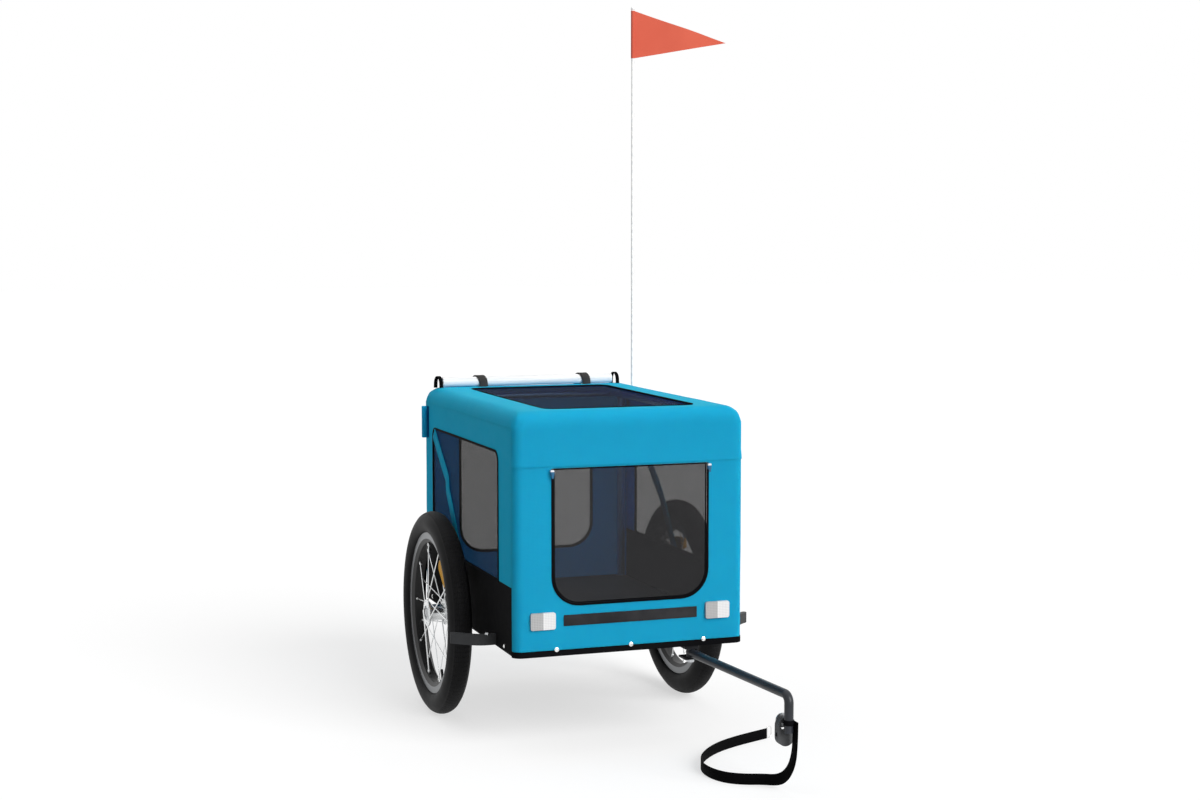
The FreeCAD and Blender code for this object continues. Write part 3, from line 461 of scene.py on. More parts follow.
@dataclass(frozen=True)
class WoundRod(Finish):
    """Glass fibre rod wound with a fine thread, under a clear resin."""

    name: str
    colour: str = "#FFFFFD"
    shade: str = "#F3F4F4"
    turn_mm: float = 9.0  # real turns lie closer, drawn coarse so that they show
    relief_mm: float = 0.2

    def dress(self, tree: Tree) -> None:
        """Slanted winding lines.

        Args:
            tree: the new material's nodes.
        """
        place = add_node(tree, "TexCoord", output="Object")
        wind = {"Scale": bands(self.turn_mm), "Distortion": 0.4, "Vector": place}
        wind = add_node(tree, "TexWave", wind, "Fac", bands_direction="DIAGONAL")
        stops = ((0.15, self.shade), (0.5, self.colour))
        add_node(tree, "ValToRGB", {"Fac": wind}, feeds="Base Color", stops=stops)
        relief = {"Strength": 0.1, "Distance": self.relief_mm * MM, "Height": wind}
        add_node(tree, "Bump", relief, feeds="Normal")
        set_surface(tree, {"Roughness": 0.3})


@dataclass(frozen=True)
class Look:
    """The plain look of one half of a two-tone piece."""

    colour: str
    metallic: float
    roughness: float


class Measure(Enum):
    """What a two-tone finish is split by: the height, or the reach from the axle's line."""

    HEIGHT = (0.0, 0.0, 1.0)
    REACH = (0.0, 1.0, 1.0)


@dataclass(frozen=True)
class TwoTone(Finish):
    """Painted metal with its working faces left bare: dull colour up to an edge, bright beyond it."""

    name: str
    measure: Measure
    centre: Triple
    edge: float
    inner: Look
    outer: Look
    mark_mm: float = 0.8
    relief_mm: float = 0.03

    def dress(self, tree: Tree) -> None:
        """Splits colour, metal and gloss at the edge, with fine turning marks over all.

        Args:
            tree: the new material's nodes.
        """
        inner, outer = self.inner, self.outer
        place = add_node(tree, "TexCoord", output="Object")
        scale = Vector(self.measure.value)
        flat = {"Location": -Vector(self.centre) * scale, "Scale": scale, "Vector": place}
        flat = add_node(tree, "Mapping", flat)
        if self.measure is Measure.REACH:
            reach = add_node(tree, "VectorMath", {0: flat}, "Value", operation="LENGTH")
        else:
            reach = add_node(tree, "SeparateXYZ", {"Vector": flat}, "Z")
        beyond = add_node(tree, "Math", {0: reach, 1: self.edge}, operation="GREATER_THAN")
        stops = ((0.0, inner.colour), (1.0, outer.colour))
        add_node(tree, "ValToRGB", {"Fac": beyond}, feeds="Base Color", stops=stops)
        metal, gloss = (inner.metallic, outer.metallic), (inner.roughness, outer.roughness)
        for socket, (near, far) in (("Metallic", metal), ("Roughness", gloss)):
            add_node(tree, "MapRange", {"To Min": near, "To Max": far, "Value": beyond}, feeds=socket)
        marks = add_node(tree, "TexNoise", {"Scale": grains(self.mark_mm), "Detail": 3.0, "Vector": place})
        relief = {"Strength": 0.3, "Distance": self.relief_mm * MM, "Height": marks}
        add_node(tree, "Bump", relief, feeds="Normal")


# Dyed polyester with a thin clear film outside: saturated and matt, and thin enough to glow inside.
BLUE_CLOTH = CoatedCloth("blue_coated_polyester", "#1CA1D1", "#1B9DCB", light_path_mm=8.0)
# The cloth's inside faces in painted shade: a deeper blue than the outside, which turns the cabin's inner
# walls navy.
BLUE_INSIDE_SHADE = CoatedCloth("blue_cloth_inside_painted_shade", "#1B73BC", "#196DB3", light_path_mm=8.0)
# The same weave dyed black: flat, with hardly any sheen.
BLACK_CLOTH = CoatedCloth("black_coated_polyester", "#161617", "#121213", roughness=0.65)
# Two layers sewn together, so no light comes through; the navy is painted shade, the cover's blue darkened
# for the shadow at the flag sleeve.
NAVY_SHADE_CLOTH = CoatedCloth("blue_cloth_painted_navy_shade", "#1B5E93", "#164E80")
# Light signal nylon: a bright warm red with a close weave.
FLAG_CLOTH = CoatedCloth("orange_coated_nylon", "#D96853", "#D1604C", thread_mm=2.0)
# Folded woven tape: near black, with its threads a little prouder than the cloth's.
BLACK_TAPE = CoatedCloth("black_binding_tape", "#131315", "#0D0D0F", thread_mm=1.6, relief_mm=0.25)
# Cut loops: a furry dark grey that catches no highlight.
PILE_CLOTH = Grained("hook_pile_tape", "#363638", "#2B2B2D", 0.9, 0.6, 0.85, gloss=0.05)
# Woven from slippery yarn: deep black with regular ribs.
BLACK_WEBBING = Webbing("black_polypropylene_webbing", "#0D0D0E", "#060607")
# Softer yarn: a dusty dark grey with ribs that show.
GREY_WEBBING = Webbing("dark_grey_polyester_webbing", "#454443", "#343332")
# Thin dyed yarn: the cover's blue, lit from behind over the windows.
BLUE_WEBBING = Webbing("blue_polypropylene_webbing", "#1B9CCB", "#178BB8", light_path_mm=6.0)
# Paint baked from powder: a fine orange peel in satin black.
POWDER_COAT = Grained("black_powder_coat", "#202124", "#18191C", 1.2, 0.05, 0.5, gloss=0.1)
# The same paint in dark grey, smooth enough for a soft line of light along the tube.
DRAWBAR_COAT = Grained(
    "dark_grey_powder_coat", "#303239", "#212429", 1.2, 0.05, 0.38, coat=0.08, gloss=0.3
)
# Pressed sheet: waxy black with a coarse shallow grain.
BOARD = Grained("black_polyethylene_board", "#202022", "#18181A", 2.0, 0.12, 0.6)
# Moulded in an eroded tool: dull black with a fine grain.
BLACK_PLASTIC = Grained("black_polypropylene", "#1D1E1F", "#161718", 0.8, 0.08, 0.5, gloss=0.05)
# Moulded in dark grey: a fine grain that catches the lamp along the rounded edge.
GREY_PLASTIC = Grained("grey_moulded_polypropylene", "#404142", "#37383A", 0.8, 0.08, 0.5, gloss=0.1)
# Moulded rubber with a rough skin: mid grey and dry.
TONGUE_RUBBER = Grained("grey_textured_rubber", "#454648", "#37383A", 1.6, 0.3, 0.6)
# Cured in a polished mould: black with a faint grey bloom.
TYRE_RUBBER = Grained("black_tyre_rubber", "#1A1A1B", "#141415", 1.0, 0.08, 0.55, gloss=0.1)
# Barrel plated: bright grey metal, a little clouded.
ZINC = Grained("zinc_plated_steel", "#C9CBCD", "#AEB1B4", 1.5, 0.02, 0.3, metallic=1.0)
# Plated over polished steel: almost a white mirror.
NICKEL = Grained("nickel_plated_steel", "#EDEDEC", "#DCDCDB", 3.0, 0.01, 0.18, metallic=1.0)
# Drawn tube with a satin blue skin: it takes up the tone of the cloth round it.
ANODISED = Grained("blue_anodised_tube", "#9CC4EC", "#90BAE4", 1.5, 0.01, 0.4, metallic=1.0)
# Turned and polished alloy: pale, with broad highlights.
HUB_ALLOY = Grained("polished_hub_alloy", "#F2F3F3", "#E2E4E5", 1.5, 0.01, 0.25, metallic=1.0)
# Drawn stainless wire: thin white lines of light.
SPOKE_STEEL = Grained("bright_spoke_steel", "#F4F5F5", "#E6E8E9", 2.0, 0.01, 0.28, metallic=1.0)
# Dyed acrylic with moulded prisms: amber that stays rich at every angle.
AMBER_LENS = PrismLens("amber_prism_acrylic", "#F8BC34", "#E09E1E", gloss=0.03, coat=0.0)
# Soft film wound on itself: milky white.
FILM = RolledFilm("rolled_clear_film")
# Bare glass fibre in resin: off-white with slanted threads.
POLE = WoundRod("wound_glass_fibre")


def alone(piece: Piece) -> None:
    """Selects one object and nothing else, and makes it the active one.

    Args:
        piece: the object.
    """
    bpy.ops.object.select_all(action="DESELECT")
    piece.select_set(True)
    bpy.context.view_layer.objects.active = piece


@contextmanager
def editing(piece: Piece) -> Iterator[None]:
    """Opens one object alone in edit mode with nothing selected, and closes it again.

    Args:
        piece: the mesh object to work on.
    """
    alone(piece)
    bpy.ops.object.mode_set(mode="EDIT")
    bpy.ops.mesh.select_mode(type="VERT")
    bpy.ops.mesh.select_all(action="DESELECT")
    yield
    bpy.ops.object.mode_set(mode="OBJECT")


def pick(piece: Piece, kind: Element, test: Test) -> None:
    """Selects what passes a test in the mesh that is open.

    Args:
        piece: the object in edit mode.
        kind: vertices, edges or faces.
        test: takes an element's middle and its normal (an edge's direction).
    """
    bpy.ops.mesh.select_mode(type=kind.value)
    bpy.ops.mesh.select_all(action="DESELECT")
    shape = bmesh.from_edit_mesh(piece.data)
    if kind is Element.FACE:
        items = [(face, face.calc_center_median(), face.normal) for face in shape.faces]
    elif kind is Element.EDGE:
        ends = [(edge, *(vert.co for vert in edge.verts)) for edge in shape.edges]
        items = [(edge, (first + second) / 2, (second - first).normalized()) for edge, first, second in ends]
    else:
        items = [(vert, vert.co, vert.normal) for vert in shape.verts]
    for item, middle, normal in items:
        if test(middle, normal):
            item.select_set(True)
    shape.select_flush_mode()
    bmesh.update_edit_mesh(piece.data)


def slice_across(axis: Axis, places: Sequence[float], near: float) -> None:
    """Cuts new edges into the mesh that is open, square to an axis.

    Args:
        axis: the axis that the cuts are square to.
        places: where the cuts lie along it.
        near: how far from a cut a point still counts as lying on it.
    """
    for place in places:
        bpy.ops.mesh.select_all(action="SELECT")
        bpy.ops.mesh.bisect(plane_co=axis.vector * place, plane_no=axis.vector, threshold=near)


def steps_between(start: float, end: float, cell: float) -> list[float]:
    """Even steps from start to end, both included, about a cell apart."""
    count = round((end - start) / cell)
    return [start + (end - start) * step / count for step in range(count + 1)]


def apply_modifier(piece: Piece, kind: str, **settings: Any) -> None:
    """Adds a modifier and applies it.

    Args:
        piece: the object that it shapes.
        kind: the modifier's type.
        settings: the modifier's own properties.
    """
    alone(piece)
    modifier = piece.modifiers.new(kind.lower(), kind)
    for name, value in settings.items():
        setattr(modifier, name, value)
    bpy.ops.object.modifier_apply(modifier=modifier.name)


def round_over(piece: Piece, radius: float) -> None:
    """Rounds a piece's sharp edges over."""
    apply_modifier(piece, "BEVEL", width=radius, segments=2, limit_method="ANGLE")


def smooth(piece: Piece, degrees: float = 35.0) -> None:
    """Shades a piece smooth, with edges sharper than the given angle kept."""
    alone(piece)
    bpy.ops.object.shade_smooth_by_angle(angle=math.radians(degrees))


def add_object(name: str, data: bpy.types.ID) -> Piece:
    """Puts a mesh, curve, camera or lamp into the scene.

    Args:
        name: the new object's name.
        data: what it shows.

    Returns:
        The new object.
    """
    piece = bpy.data.objects.new(name, data)
    bpy.context.scene.collection.objects.link(piece)
    return piece


def take_new(name: str) -> Piece:
    """Names the primitive that was just added and puts its place, turn and size into its mesh.

    Args:
        name: its name.

    Returns:
        The primitive's object.
    """
    piece = bpy.context.active_object
    piece.name = piece.data.name = name
    alone(piece)
    bpy.ops.object.transform_apply(location=True, rotation=True, scale=True)
    return piece


def block(name: str, low: Sequence[float], high: Sequence[float]) -> Piece:
    """A block between two corners, as a start for a piece.

    Args:
        name: the new object's name.
        low: the lowest corner.
        high: the highest corner.

    Returns:
        The new object, its place in its mesh.
    """
    low, high = Vector(low), Vector(high)
    bpy.ops.object.select_all(action="DESELECT")
    bpy.ops.mesh.primitive_cube_add(size=1.0, location=(low + high) / 2)
    bpy.context.active_object.scale = high - low
    return take_new(name)


def cylinder(
    name: str, radius: float, height: float, middle: Sequence[float], sides: int, ends: str = "NOTHING"
) -> Piece:
    """An upright cylinder, as a start for a piece.

    Args:
        name: the new object's name.
        radius: its radius.
        height: its height.
        middle: the place of its middle.
        sides: how many sides its round has.
        ends: how its ends are filled.

    Returns:
        The new object, its place in its mesh.
    """
    bpy.ops.object.select_all(action="DESELECT")
    bpy.ops.mesh.primitive_cylinder_add(
        vertices=sides, radius=radius, depth=height, end_fill_type=ends, location=middle
    )
    return take_new(name)


def cut_out(piece: Piece, tool: Piece) -> None:
    """Cuts a tool's shape out of a piece; the cut faces keep the tool's material.

    Args:
        piece: the object to cut.
        tool: the shape to take away, which is deleted.
    """
    way = {"operation": "DIFFERENCE", "solver": "EXACT", "material_mode": "TRANSFER"}
    apply_modifier(piece, "BOOLEAN", object=tool, **way)
    bpy.data.objects.remove(tool)


def join(pieces: Sequence[Piece], name: str) -> Piece:
    """Joins several objects into one.

    Args:
        pieces: the objects.
        name: the joined object's name.

    Returns:
        The first object, which now holds them all.
    """
    alone(pieces[0])
    for piece in pieces:
        piece.select_set(True)
    bpy.ops.object.join()
    pieces[0].name = pieces[0].data.name = name
    return pieces[0]


def turn_outwards(piece: Piece, near: float = 1e-6) -> None:
    """Merges doubles and points a shape's faces outwards.

    Args:
        piece: the object.
        near: how far apart two points still count as one.
    """
    with editing(piece):
        bpy.ops.mesh.select_all(action="SELECT")
        bpy.ops.mesh.remove_doubles(threshold=near)
        bpy.ops.mesh.normals_make_consistent(inside=False)


def rounded_plate(
    name: str, axis: Axis, low: Pair, high: Pair, radii: Pair, depth: Pair, segments: int = 10
) -> Piece:
    """A plate with rounded corners, square to an axis.

    Args:
        name: the new object's name.
        axis: the axis that the plate is square to.
        low: its lowest place on the two other axes.
        high: its highest place on the two other axes.
        radii: the corner radius at the low and at the high end of the second other axis.
        depth: where its two faces lie along the axis.
        segments: how many steps each corner has.

    Returns:
        The new object.
    """
    first, second = axis.others
    start, end = Vector(), Vector()
    start[first], start[second], start[axis.value] = *low, min(depth)
    end[first], end[second], end[axis.value] = *high, max(depth)
    plate = block(name, start, end)
    near = 0.01 * MM
    with editing(plate):
        for level, radius in zip((low[1], high[1]), radii):
            if radius > 0:
                pick(
                    plate,
                    Element.EDGE,
                    lambda at, along: abs(along[axis.value]) > ALIGNED and abs(at[second] - level) < near,
                )
                bpy.ops.mesh.bevel(offset=radius, segments=segments, affect="EDGES")
    return plate


def smooth_line(points: Sequence[Vector], resolution: int = 10) -> list[Vector]:
    """The points of a smooth line through a hand-set route.

    Args:
        points: the route's control points.
        resolution: steps per control point.

    Returns:
        Points read from a NURBS spline with the route as its control points.
    """
    curve = bpy.data.curves.new("route", "CURVE")
    curve.dimensions = "3D"
    spline = curve.splines.new("NURBS")
    spline.points.add(len(points) - 1)
    for knot, point in zip(spline.points, points):
        knot.co = (*point, 1.0)
    spline.order_u = 3
    spline.use_endpoint_u = True
    spline.resolution_u = resolution
    holder = add_object("route", curve)
    mesh = bpy.data.meshes.new_from_object(holder)
    line = [vert.co.copy() for vert in mesh.vertices]
    bpy.data.objects.remove(holder)
    bpy.data.meshes.remove(mesh)
    bpy.data.curves.remove(curve)
    return line


def along_line(line: Sequence[Vector], index: int) -> Vector:
    """The way from the point before to the point after one of a line's points."""
    return line[min(index + 1, len(line) - 1)] - line[max(index - 1, 0)]


def ribbon(
    name: str, line: Sequence[Vector], normals: Sequence[Vector], width: float, thickness: float
) -> Piece:
    """A flat band with round edges along a line, mapped in metres along and across it.

    Args:
        name: the new object's name.
        line: the middle of the band.
        normals: the direction that the band's flat side faces at each point.
        width: the band's width.
        thickness: the band's thickness.

    Returns:
        The new object, closed at both ends.
    """
    half, edge = width / 2, thickness / 2
    section = [(-half, 0.0), (edge - half, edge), (0.0, edge), (half - edge, edge)]
    section += [(half, 0.0), (half - edge, -edge), (0.0, -edge), (edge - half, -edge)]
    count = len(section)
    verts, places, faces = [], [], []
    travelled = 0.0
    for index, point in enumerate(line):
        along = along_line(line, index).normalized()
        face = (normals[index] - along * normals[index].dot(along)).normalized()
        wide = face.cross(along)
        if index:
            travelled += (point - line[index - 1]).length
            for step in range(count):
                here, after = len(verts) + step, len(verts) + (step + 1) % count
                faces.append((here - count, after - count, after, here))
        verts += [point + wide * across + face * out for across, out in section]
        places += [(travelled, across) for across, _ in section]
    faces += [tuple(range(count)), tuple(range(len(verts) - count, len(verts)))]
    mesh = bpy.data.meshes.new(name)
    mesh.from_pydata([tuple(vert) for vert in verts], [], faces)
    layer = mesh.uv_layers.new(name="UVMap")
    for loop in mesh.loops:
        layer.data[loop.index].uv = places[loop.vertex_index]
    band = add_object(name, mesh)
    turn_outwards(band)
    smooth(band, 50.0)
    return band


def hand_over(
    piece: Piece,
    body: str,
    finish: Finish,
    stands_for: Sequence[str] = (),
    inside_finish: Optional[Finish] = None,
) -> None:
    """Gives a finished piece its material, its body and the nodes that it stands for.

    Args:
        piece: the finished piece.
        body: the body that it rides on.
        finish: its finish.
        stands_for: the nodes that it replaces.
        inside_finish: the finish of the faces that a cloth's thickness set apart as its inside.
    """
    inside = [bool(inside_finish and face.material_index) for face in piece.data.polygons]
    piece.data.materials.clear()
    for coat in filter(None, (finish, inside_finish)):
        piece.data.materials.append(coat.material())
    for face, is_inside in zip(piece.data.polygons, inside):
        face.material_index = int(is_inside)
    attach(piece, body)
    if stands_for:
        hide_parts(*stands_for)
    LOG.info("%s rides on %s in %s", piece.name, body, finish.name)


@dataclass(frozen=True)
class Opening:
    """A rounded window or doorway in one flat face of the cabin."""

    normal: Axis
    low: Pair
    high: Pair
    radii: Pair

    def plate(self, name: str, grow: float, depth: Pair) -> Piece:
        """A plate of the opening's outline, grown outwards all round.

        Args:
            name: the new object's name.
            grow: how far the outline is grown.
            depth: where the plate's faces lie along the opening's normal.

        Returns:
            The new object.
        """
        low = (self.low[0] - grow, self.low[1] - grow)
        high = (self.high[0] + grow, self.high[1] + grow)
        radii = tuple(radius + grow if radius else 0.0 for radius in self.radii)
        return rounded_plate(name, self.normal, low, high, radii, depth)

    def cut_from(self, piece: Piece, grow: float, depth: Pair) -> None:
        """Cuts the grown outline right through a piece.

        Args:
            piece: the piece to cut.
            grow: how far the outline is grown.
            depth: where the piece's faces lie along the opening's normal.
        """
        margin = 5 * MM
        cut_out(piece, self.plate("tool", grow, (min(depth) - margin, max(depth) + margin)))

    def topped(self, top: float) -> Opening:
        """The same opening with its upper edge at another height."""
        return Opening(self.normal, self.low, (self.high[0], top), self.radii)

    def band(self, name: str, inner: float, outer: float, depth: Pair, edge: float) -> Piece:
        """A flat band round the opening, its edges rounded over.

        Args:
            name: the new object's name.
            inner: the inner edge, counted outwards from the outline.
            outer: the outer edge, counted outwards from the outline.
            depth: where the band's faces lie along the opening's normal.
            edge: the radius of its edges.

        Returns:
            The new object.
        """
        band = self.plate(name, outer, depth)
        self.cut_from(band, inner, depth)
        round_over(band, edge)
        turn_outwards(band)
        smooth(band)
        return band


@dataclass
class Cabin:
    """The fabric cabin: panels, mesh windows, bindings and what is sewn to them."""

    corner_radius: float = 16 * MM
    top_radius: float = 30 * MM
    cloth: float = 1.6 * MM
    cell: float = 20 * MM
    lap: float = 12 * MM
    knit_lap: float = 4 * MM
    knit: float = 0.02 * MM  # thinner than real yarn, so that the holes stay open when seen at a slant
    side_knit_inset: float = 0.5 * MM
    softness: float = 1.6 * MM
    softness_size: float = 0.16
    hem_rise: float = 6 * MM
    hem_fold: float = 3 * MM
    hem_lift: float = 1.4 * MM
    hem_gap: float = 0.6 * MM
    foot_band: float = 11 * MM
    foot_band_proud: float = 0.8 * MM
    binding: float = 4.5 * MM
    roof_binding: float = 2.5 * MM
    binding_inside: float = 0.4  # share of a binding's width that lies inside the window
    binding_height: float = 1.4 * MM
    binding_depth: float = 2 * MM
    tape_edge: float = 0.4 * MM
    zip_edge: float = 0.3 * MM
    strip_radius: float = 1.5 * MM
    door_radius: float = 50 * MM
    door_play: float = 0.6 * MM
    door_gap: float = 0.3 * MM
    door_edge: float = 2.4 * MM
    door_proud: float = 0.3 * MM
    door_tuck: float = 1 * MM
    window_radius: float = 18 * MM
    roof_window_radius: float = 22 * MM
    bracket_gap: float = 0.6 * MM
    guard_slot: float = 10 * MM
    under_zip: float = 1.5 * MM
    cut_depth: float = 8 * MM

    def __post_init__(self) -> None:
        """Reads the cabin's places from the frame."""
        roof_low, self.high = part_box("roof_panel")
        self.low = Vector((roof_low.x, roof_low.y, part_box("frame_rail_front")[0].z))
        self.middle = (self.low + self.high) / 2
        self.front_seam = self.low.y + self.corner_radius
        self.rear_seam = self.high.y - self.corner_radius
        self.roof_seam = self.high.z - self.top_radius
        self.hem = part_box("front_panel")[1].z
        self.hem_line = self.hem + self.hem_rise
        self.lower_foot, self.lower_top = (corner.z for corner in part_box("lower_panel_left"))
        self.foot = self.low.z + self.foot_band
        window, roof = self.window_radius, self.roof_window_radius
        self.openings = {
            "door": self.outline("door_binding", Axis.Y, self.door_play, (self.door_radius, 0.0)),
            "rear": self.outline("rear_mesh", Axis.Y, -self.lap, (self.door_radius, window)),
            "roof": self.outline("roof_mesh", Axis.Z, -self.lap, (roof, roof)),
            "side": self.outline("side_meshes", Axis.X, -self.lap, (0.0, window)),
        }

    def outline(self, node: str, normal: Axis, grow: float, radii: Pair) -> Opening:
        """An opening read from a node's box.

        Args:
            node: the node.
            normal: the axis that the opening is square to.
            grow: the margin by which the box is grown.
            radii: the corner radius at its low and at its high end.

        Returns:
            The opening.
        """
        low, high = ([corner[index] for index in normal.others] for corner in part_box(node))
        return Opening(normal, (low[0] - grow, low[1] - grow), (high[0] + grow, high[1] + grow), radii)

    def rounded_block(self) -> Piece:
        """The cabin's outside as a closed block with rounded corners and top edges, cut into cells.

        Returns:
            The new object.
        """
        cover = block("cover", self.low, self.high)
        weights = cover.data.attributes.new("bevel_weight_edge", "FLOAT", "EDGE")
        for edge in cover.data.edges:
            first, second = (cover.data.vertices[index].co for index in edge.vertices)
            if abs(first.z - second.z) > 0.1 * MM:
                weights.data[edge.index].value = self.corner_radius / self.top_radius
            elif first.z > self.middle.z:
                weights.data[edge.index].value = 1.0
        apply_modifier(cover, "BEVEL", width=self.top_radius, segments=8, limit_method="WEIGHT")
        seams = {
            Axis.X: [],
            Axis.Y: [self.front_seam, self.rear_seam],
            Axis.Z: [self.roof_seam, self.hem_line, self.lower_top, self.foot],
        }
        with editing(cover):
            for axis, places in seams.items():
                cells = steps_between(self.low[axis.value], self.high[axis.value], self.cell)
                slice_across(axis, places + cells[1:-1], 0.01 * MM)
        return cover

    def cutters(self) -> list[Piece]:
        """Blocks and plates of what is cut out of the cover: its windows, the doorway and the frame's slots.

        Returns:
            The tools, in the order of their use.
        """
        door = self.openings["door"]
        door = door.topped(door.high[1] - self.under_zip)
        tools = [door.plate("tool", self.under_zip, self.through(self.low.y))]
        windows = (("rear", self.high.y), ("roof", self.high.z), ("side", self.low.x), ("side", self.high.x))
        for key, face in windows:
            tools.append(self.openings[key].plate("tool", 0, self.through(face)))
        bracket_low, bracket_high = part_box("axle_brackets")
        guard = sum(corner.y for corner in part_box("guard_screws")) / 2
        slots = (
            (bracket_low.y, bracket_high.y, bracket_high.z),
            (guard - self.guard_slot / 2, guard + self.guard_slot / 2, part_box("wheel_guards")[1].z),
        )
        for start, end, top in slots:
            for inner, outer in (self.through(self.low.x), self.through(self.high.x)):
                low = (inner, start - self.bracket_gap, self.low.z - self.cut_depth)
                tools.append(block("tool", low, (outer, end + self.bracket_gap, top + self.bracket_gap)))
        return tools

    def through(self, face: float) -> Pair:
        """The depth of a cut right through the cover at one of its faces."""
        return face - self.cut_depth, face + self.cut_depth

    def skin(self) -> Piece:
        """The cover as one open sheet with all its openings cut, a little slack between its seams.

        Returns:
            The new object.
        """
        cover = self.rounded_block()
        cover.data.materials.append(BLUE_CLOTH.material())
        for tool in self.cutters():
            tool.data.materials.append(BLACK_TAPE.material())
            cut_out(cover, tool)
        cut_index = cover.data.materials.find(BLACK_TAPE.name)
        with editing(cover):
            bpy.ops.mesh.select_mode(type="FACE")
            shape = bmesh.from_edit_mesh(cover.data)
            for face in shape.faces:
                bottom = face.normal.z < -ALIGNED and face.calc_center_median().z < self.low.z + MM
                face.select_set(face.material_index == cut_index or bottom)
            bmesh.update_edit_mesh(cover.data)
            bpy.ops.mesh.delete(type="FACE")
            bpy.ops.mesh.select_all(action="SELECT")
            bpy.ops.mesh.remove_doubles(threshold=0.01 * MM)
            bpy.ops.mesh.dissolve_degenerate(threshold=0.05 * MM)
        slack = bpy.data.textures.new("slack", "CLOUDS")
        slack.noise_scale = self.softness_size
        apply_modifier(
            cover, "DISPLACE", texture=slack, strength=self.softness, mid_level=0.5, texture_coords="LOCAL"
        )
        return cover

    def panel(self, skin: Piece, name: str, test: Test) -> Piece:
        """Takes the faces that pass a test off the skin as a panel of their own.

        Args:
            skin: what is left of the cover.
            name: the panel's name.
            test: takes a face's middle and normal.

        Returns:
            The new object.
        """
        before = set(bpy.data.objects)
        with editing(skin):
            pick(skin, Element.FACE, test)
            bpy.ops.mesh.separate(type="SELECTED")
        (panel,) = set(bpy.data.objects) - before
        panel.name = panel.data.name = name
        return panel

    def sew(
        self, panel: Piece, finish: Finish, nodes: Sequence[str]
    ) -> None:
        """Args:
            panel: the open sheet.
            finish: its cloth.
            nodes: the nodes that it stands for.
        """
        apply_modifier(
            panel, "SOLIDIFY", thickness=self.cloth, offset=-1.0, use_even_offset=True, material_offset=1
        )
        smooth(panel, 40.0)
        # the blue panels' inside faces take a deeper blue as painted shade, so the inner walls look navy
        hand_over(panel, "root", finish, nodes, BLUE_INSIDE_SHADE if finish is BLUE_CLOTH else None)

    def build_panels(self) -> None:
        """Cuts the skin into its sewn panels."""
        skin = self.skin()
        roof = self.panel(
            skin,
            "roof_cover",
            lambda at, _: at.z > self.roof_seam or (at.y < self.front_seam and at.z > self.hem_line),
        )
        self.fold_hem(roof)
        foot_bands = (
            self.panel(skin, "front_foot_band", lambda at, _: at.y < self.front_seam and at.z < self.foot),
            self.panel(skin, "rear_foot_band", lambda at, _: at.y > self.rear_seam and at.z < self.foot),
        )
        front = self.panel(skin, "front_cover", lambda at, _: at.y < self.front_seam)
        rear = self.panel(skin, "rear_cover", lambda at, _: at.y > self.rear_seam)
        self.build_sides(skin)
        self.sew(roof, BLUE_CLOTH, ("roof_panel",))
        walls = (("front", front, self.hem_line), ("rear", rear, self.roof_seam))
        for word, wall, top in walls:
            self.sew(
                wall, BLUE_CLOTH, (f"{word}_panel",)
            )
        for band, word in zip(foot_bands, ("front", "rear")):
            with editing(band):
                bpy.ops.mesh.select_all(action="SELECT")
                bpy.ops.transform.shrink_fatten(value=self.foot_band_proud)
            self.sew(band, BLACK_TAPE, ())

    def build_sides(self, skin: Piece) -> None:
        """Cuts what is left of the skin into the black lower and the blue upper side panels.

        Args:
            skin: the cover without its roof, front and rear.
        """
        for side in Side:
            lower = self.panel(
                skin,
                f"lower_cover_{side.word}",
                lambda at, _: (at.x - self.middle.x) * side.value > 0 and at.z < self.lower_top,
            )
            with editing(lower):
                bpy.ops.mesh.select_all(action="SELECT")
                foot = Vector((0, 0, self.lower_foot))
                bpy.ops.mesh.bisect(plane_co=foot, plane_no=Axis.Z.vector, clear_inner=True)
            nodes = (f"lower_panel_{side.word}",)
            self.sew(lower, BLACK_CLOTH, nodes)
            upper = skin
            if side is Side.LEFT:
                upper = self.panel(skin, "side_cover_left", lambda at, _: at.x < self.middle.x)
            upper.name = upper.data.name = f"side_cover_{side.word}"
            self.sew(upper, BLUE_CLOTH, (f"side_panel_{side.word}",))

    def fold_hem(self, roof: Piece) -> None:
        """Turns the header's lower edge into a fold that lies over the front panel.

        Args:
            roof: the roof panel with its header.
        """
        level = 0.3  # greatest slope of an edge that counts as level
        with editing(roof):
            pick(
                roof,
                Element.EDGE,
                lambda at, along: at.y < self.front_seam
                and abs(at.z - self.hem_line) < MM
                and abs(along.z) < level,
            )
            bpy.ops.mesh.extrude_edges_move(TRANSFORM_OT_translate={"value": (0, 0, -self.hem_fold)})
            bpy.ops.mesh.select_all(action="SELECT")
            bpy.ops.mesh.normals_make_consistent(inside=False)
            pick(
                roof,
                Element.VERT,
                lambda at, _: at.y < self.front_seam + MM and at.z < self.hem_line + MM,
            )
            bpy.ops.transform.shrink_fatten(value=self.hem_lift)

    def build_meshes(self) -> None:
        """Sews the knit mesh into the roof, rear and side windows."""
        for key, turn_deg, hole_edge in (("roof", 30.0, 0.22), ("rear", 12.0, 0.33)):
            opening = self.openings[key]
            face = sum(corner[opening.normal.value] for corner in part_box(f"{key}_mesh")) / 2
            weave = KnitMesh(f"black_knit_of_{key}_window", opening.normal, turn_deg, hole_edge=hole_edge)
            self.stretch_mesh(f"{key}_window_mesh", opening, face, "root", weave, f"{key}_mesh")
        for side, turn_deg in ((Side.LEFT, 22.0), (Side.RIGHT, 67.0)):
            face = side.outer(*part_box("side_meshes")) - side.value * self.side_knit_inset
            weave = KnitMesh(f"black_knit_of_{side.word}_window", Axis.X, turn_deg)
            name = f"side_window_mesh_{side.word}"
            self.stretch_mesh(name, self.openings["side"], face, "root", weave, "side_meshes")

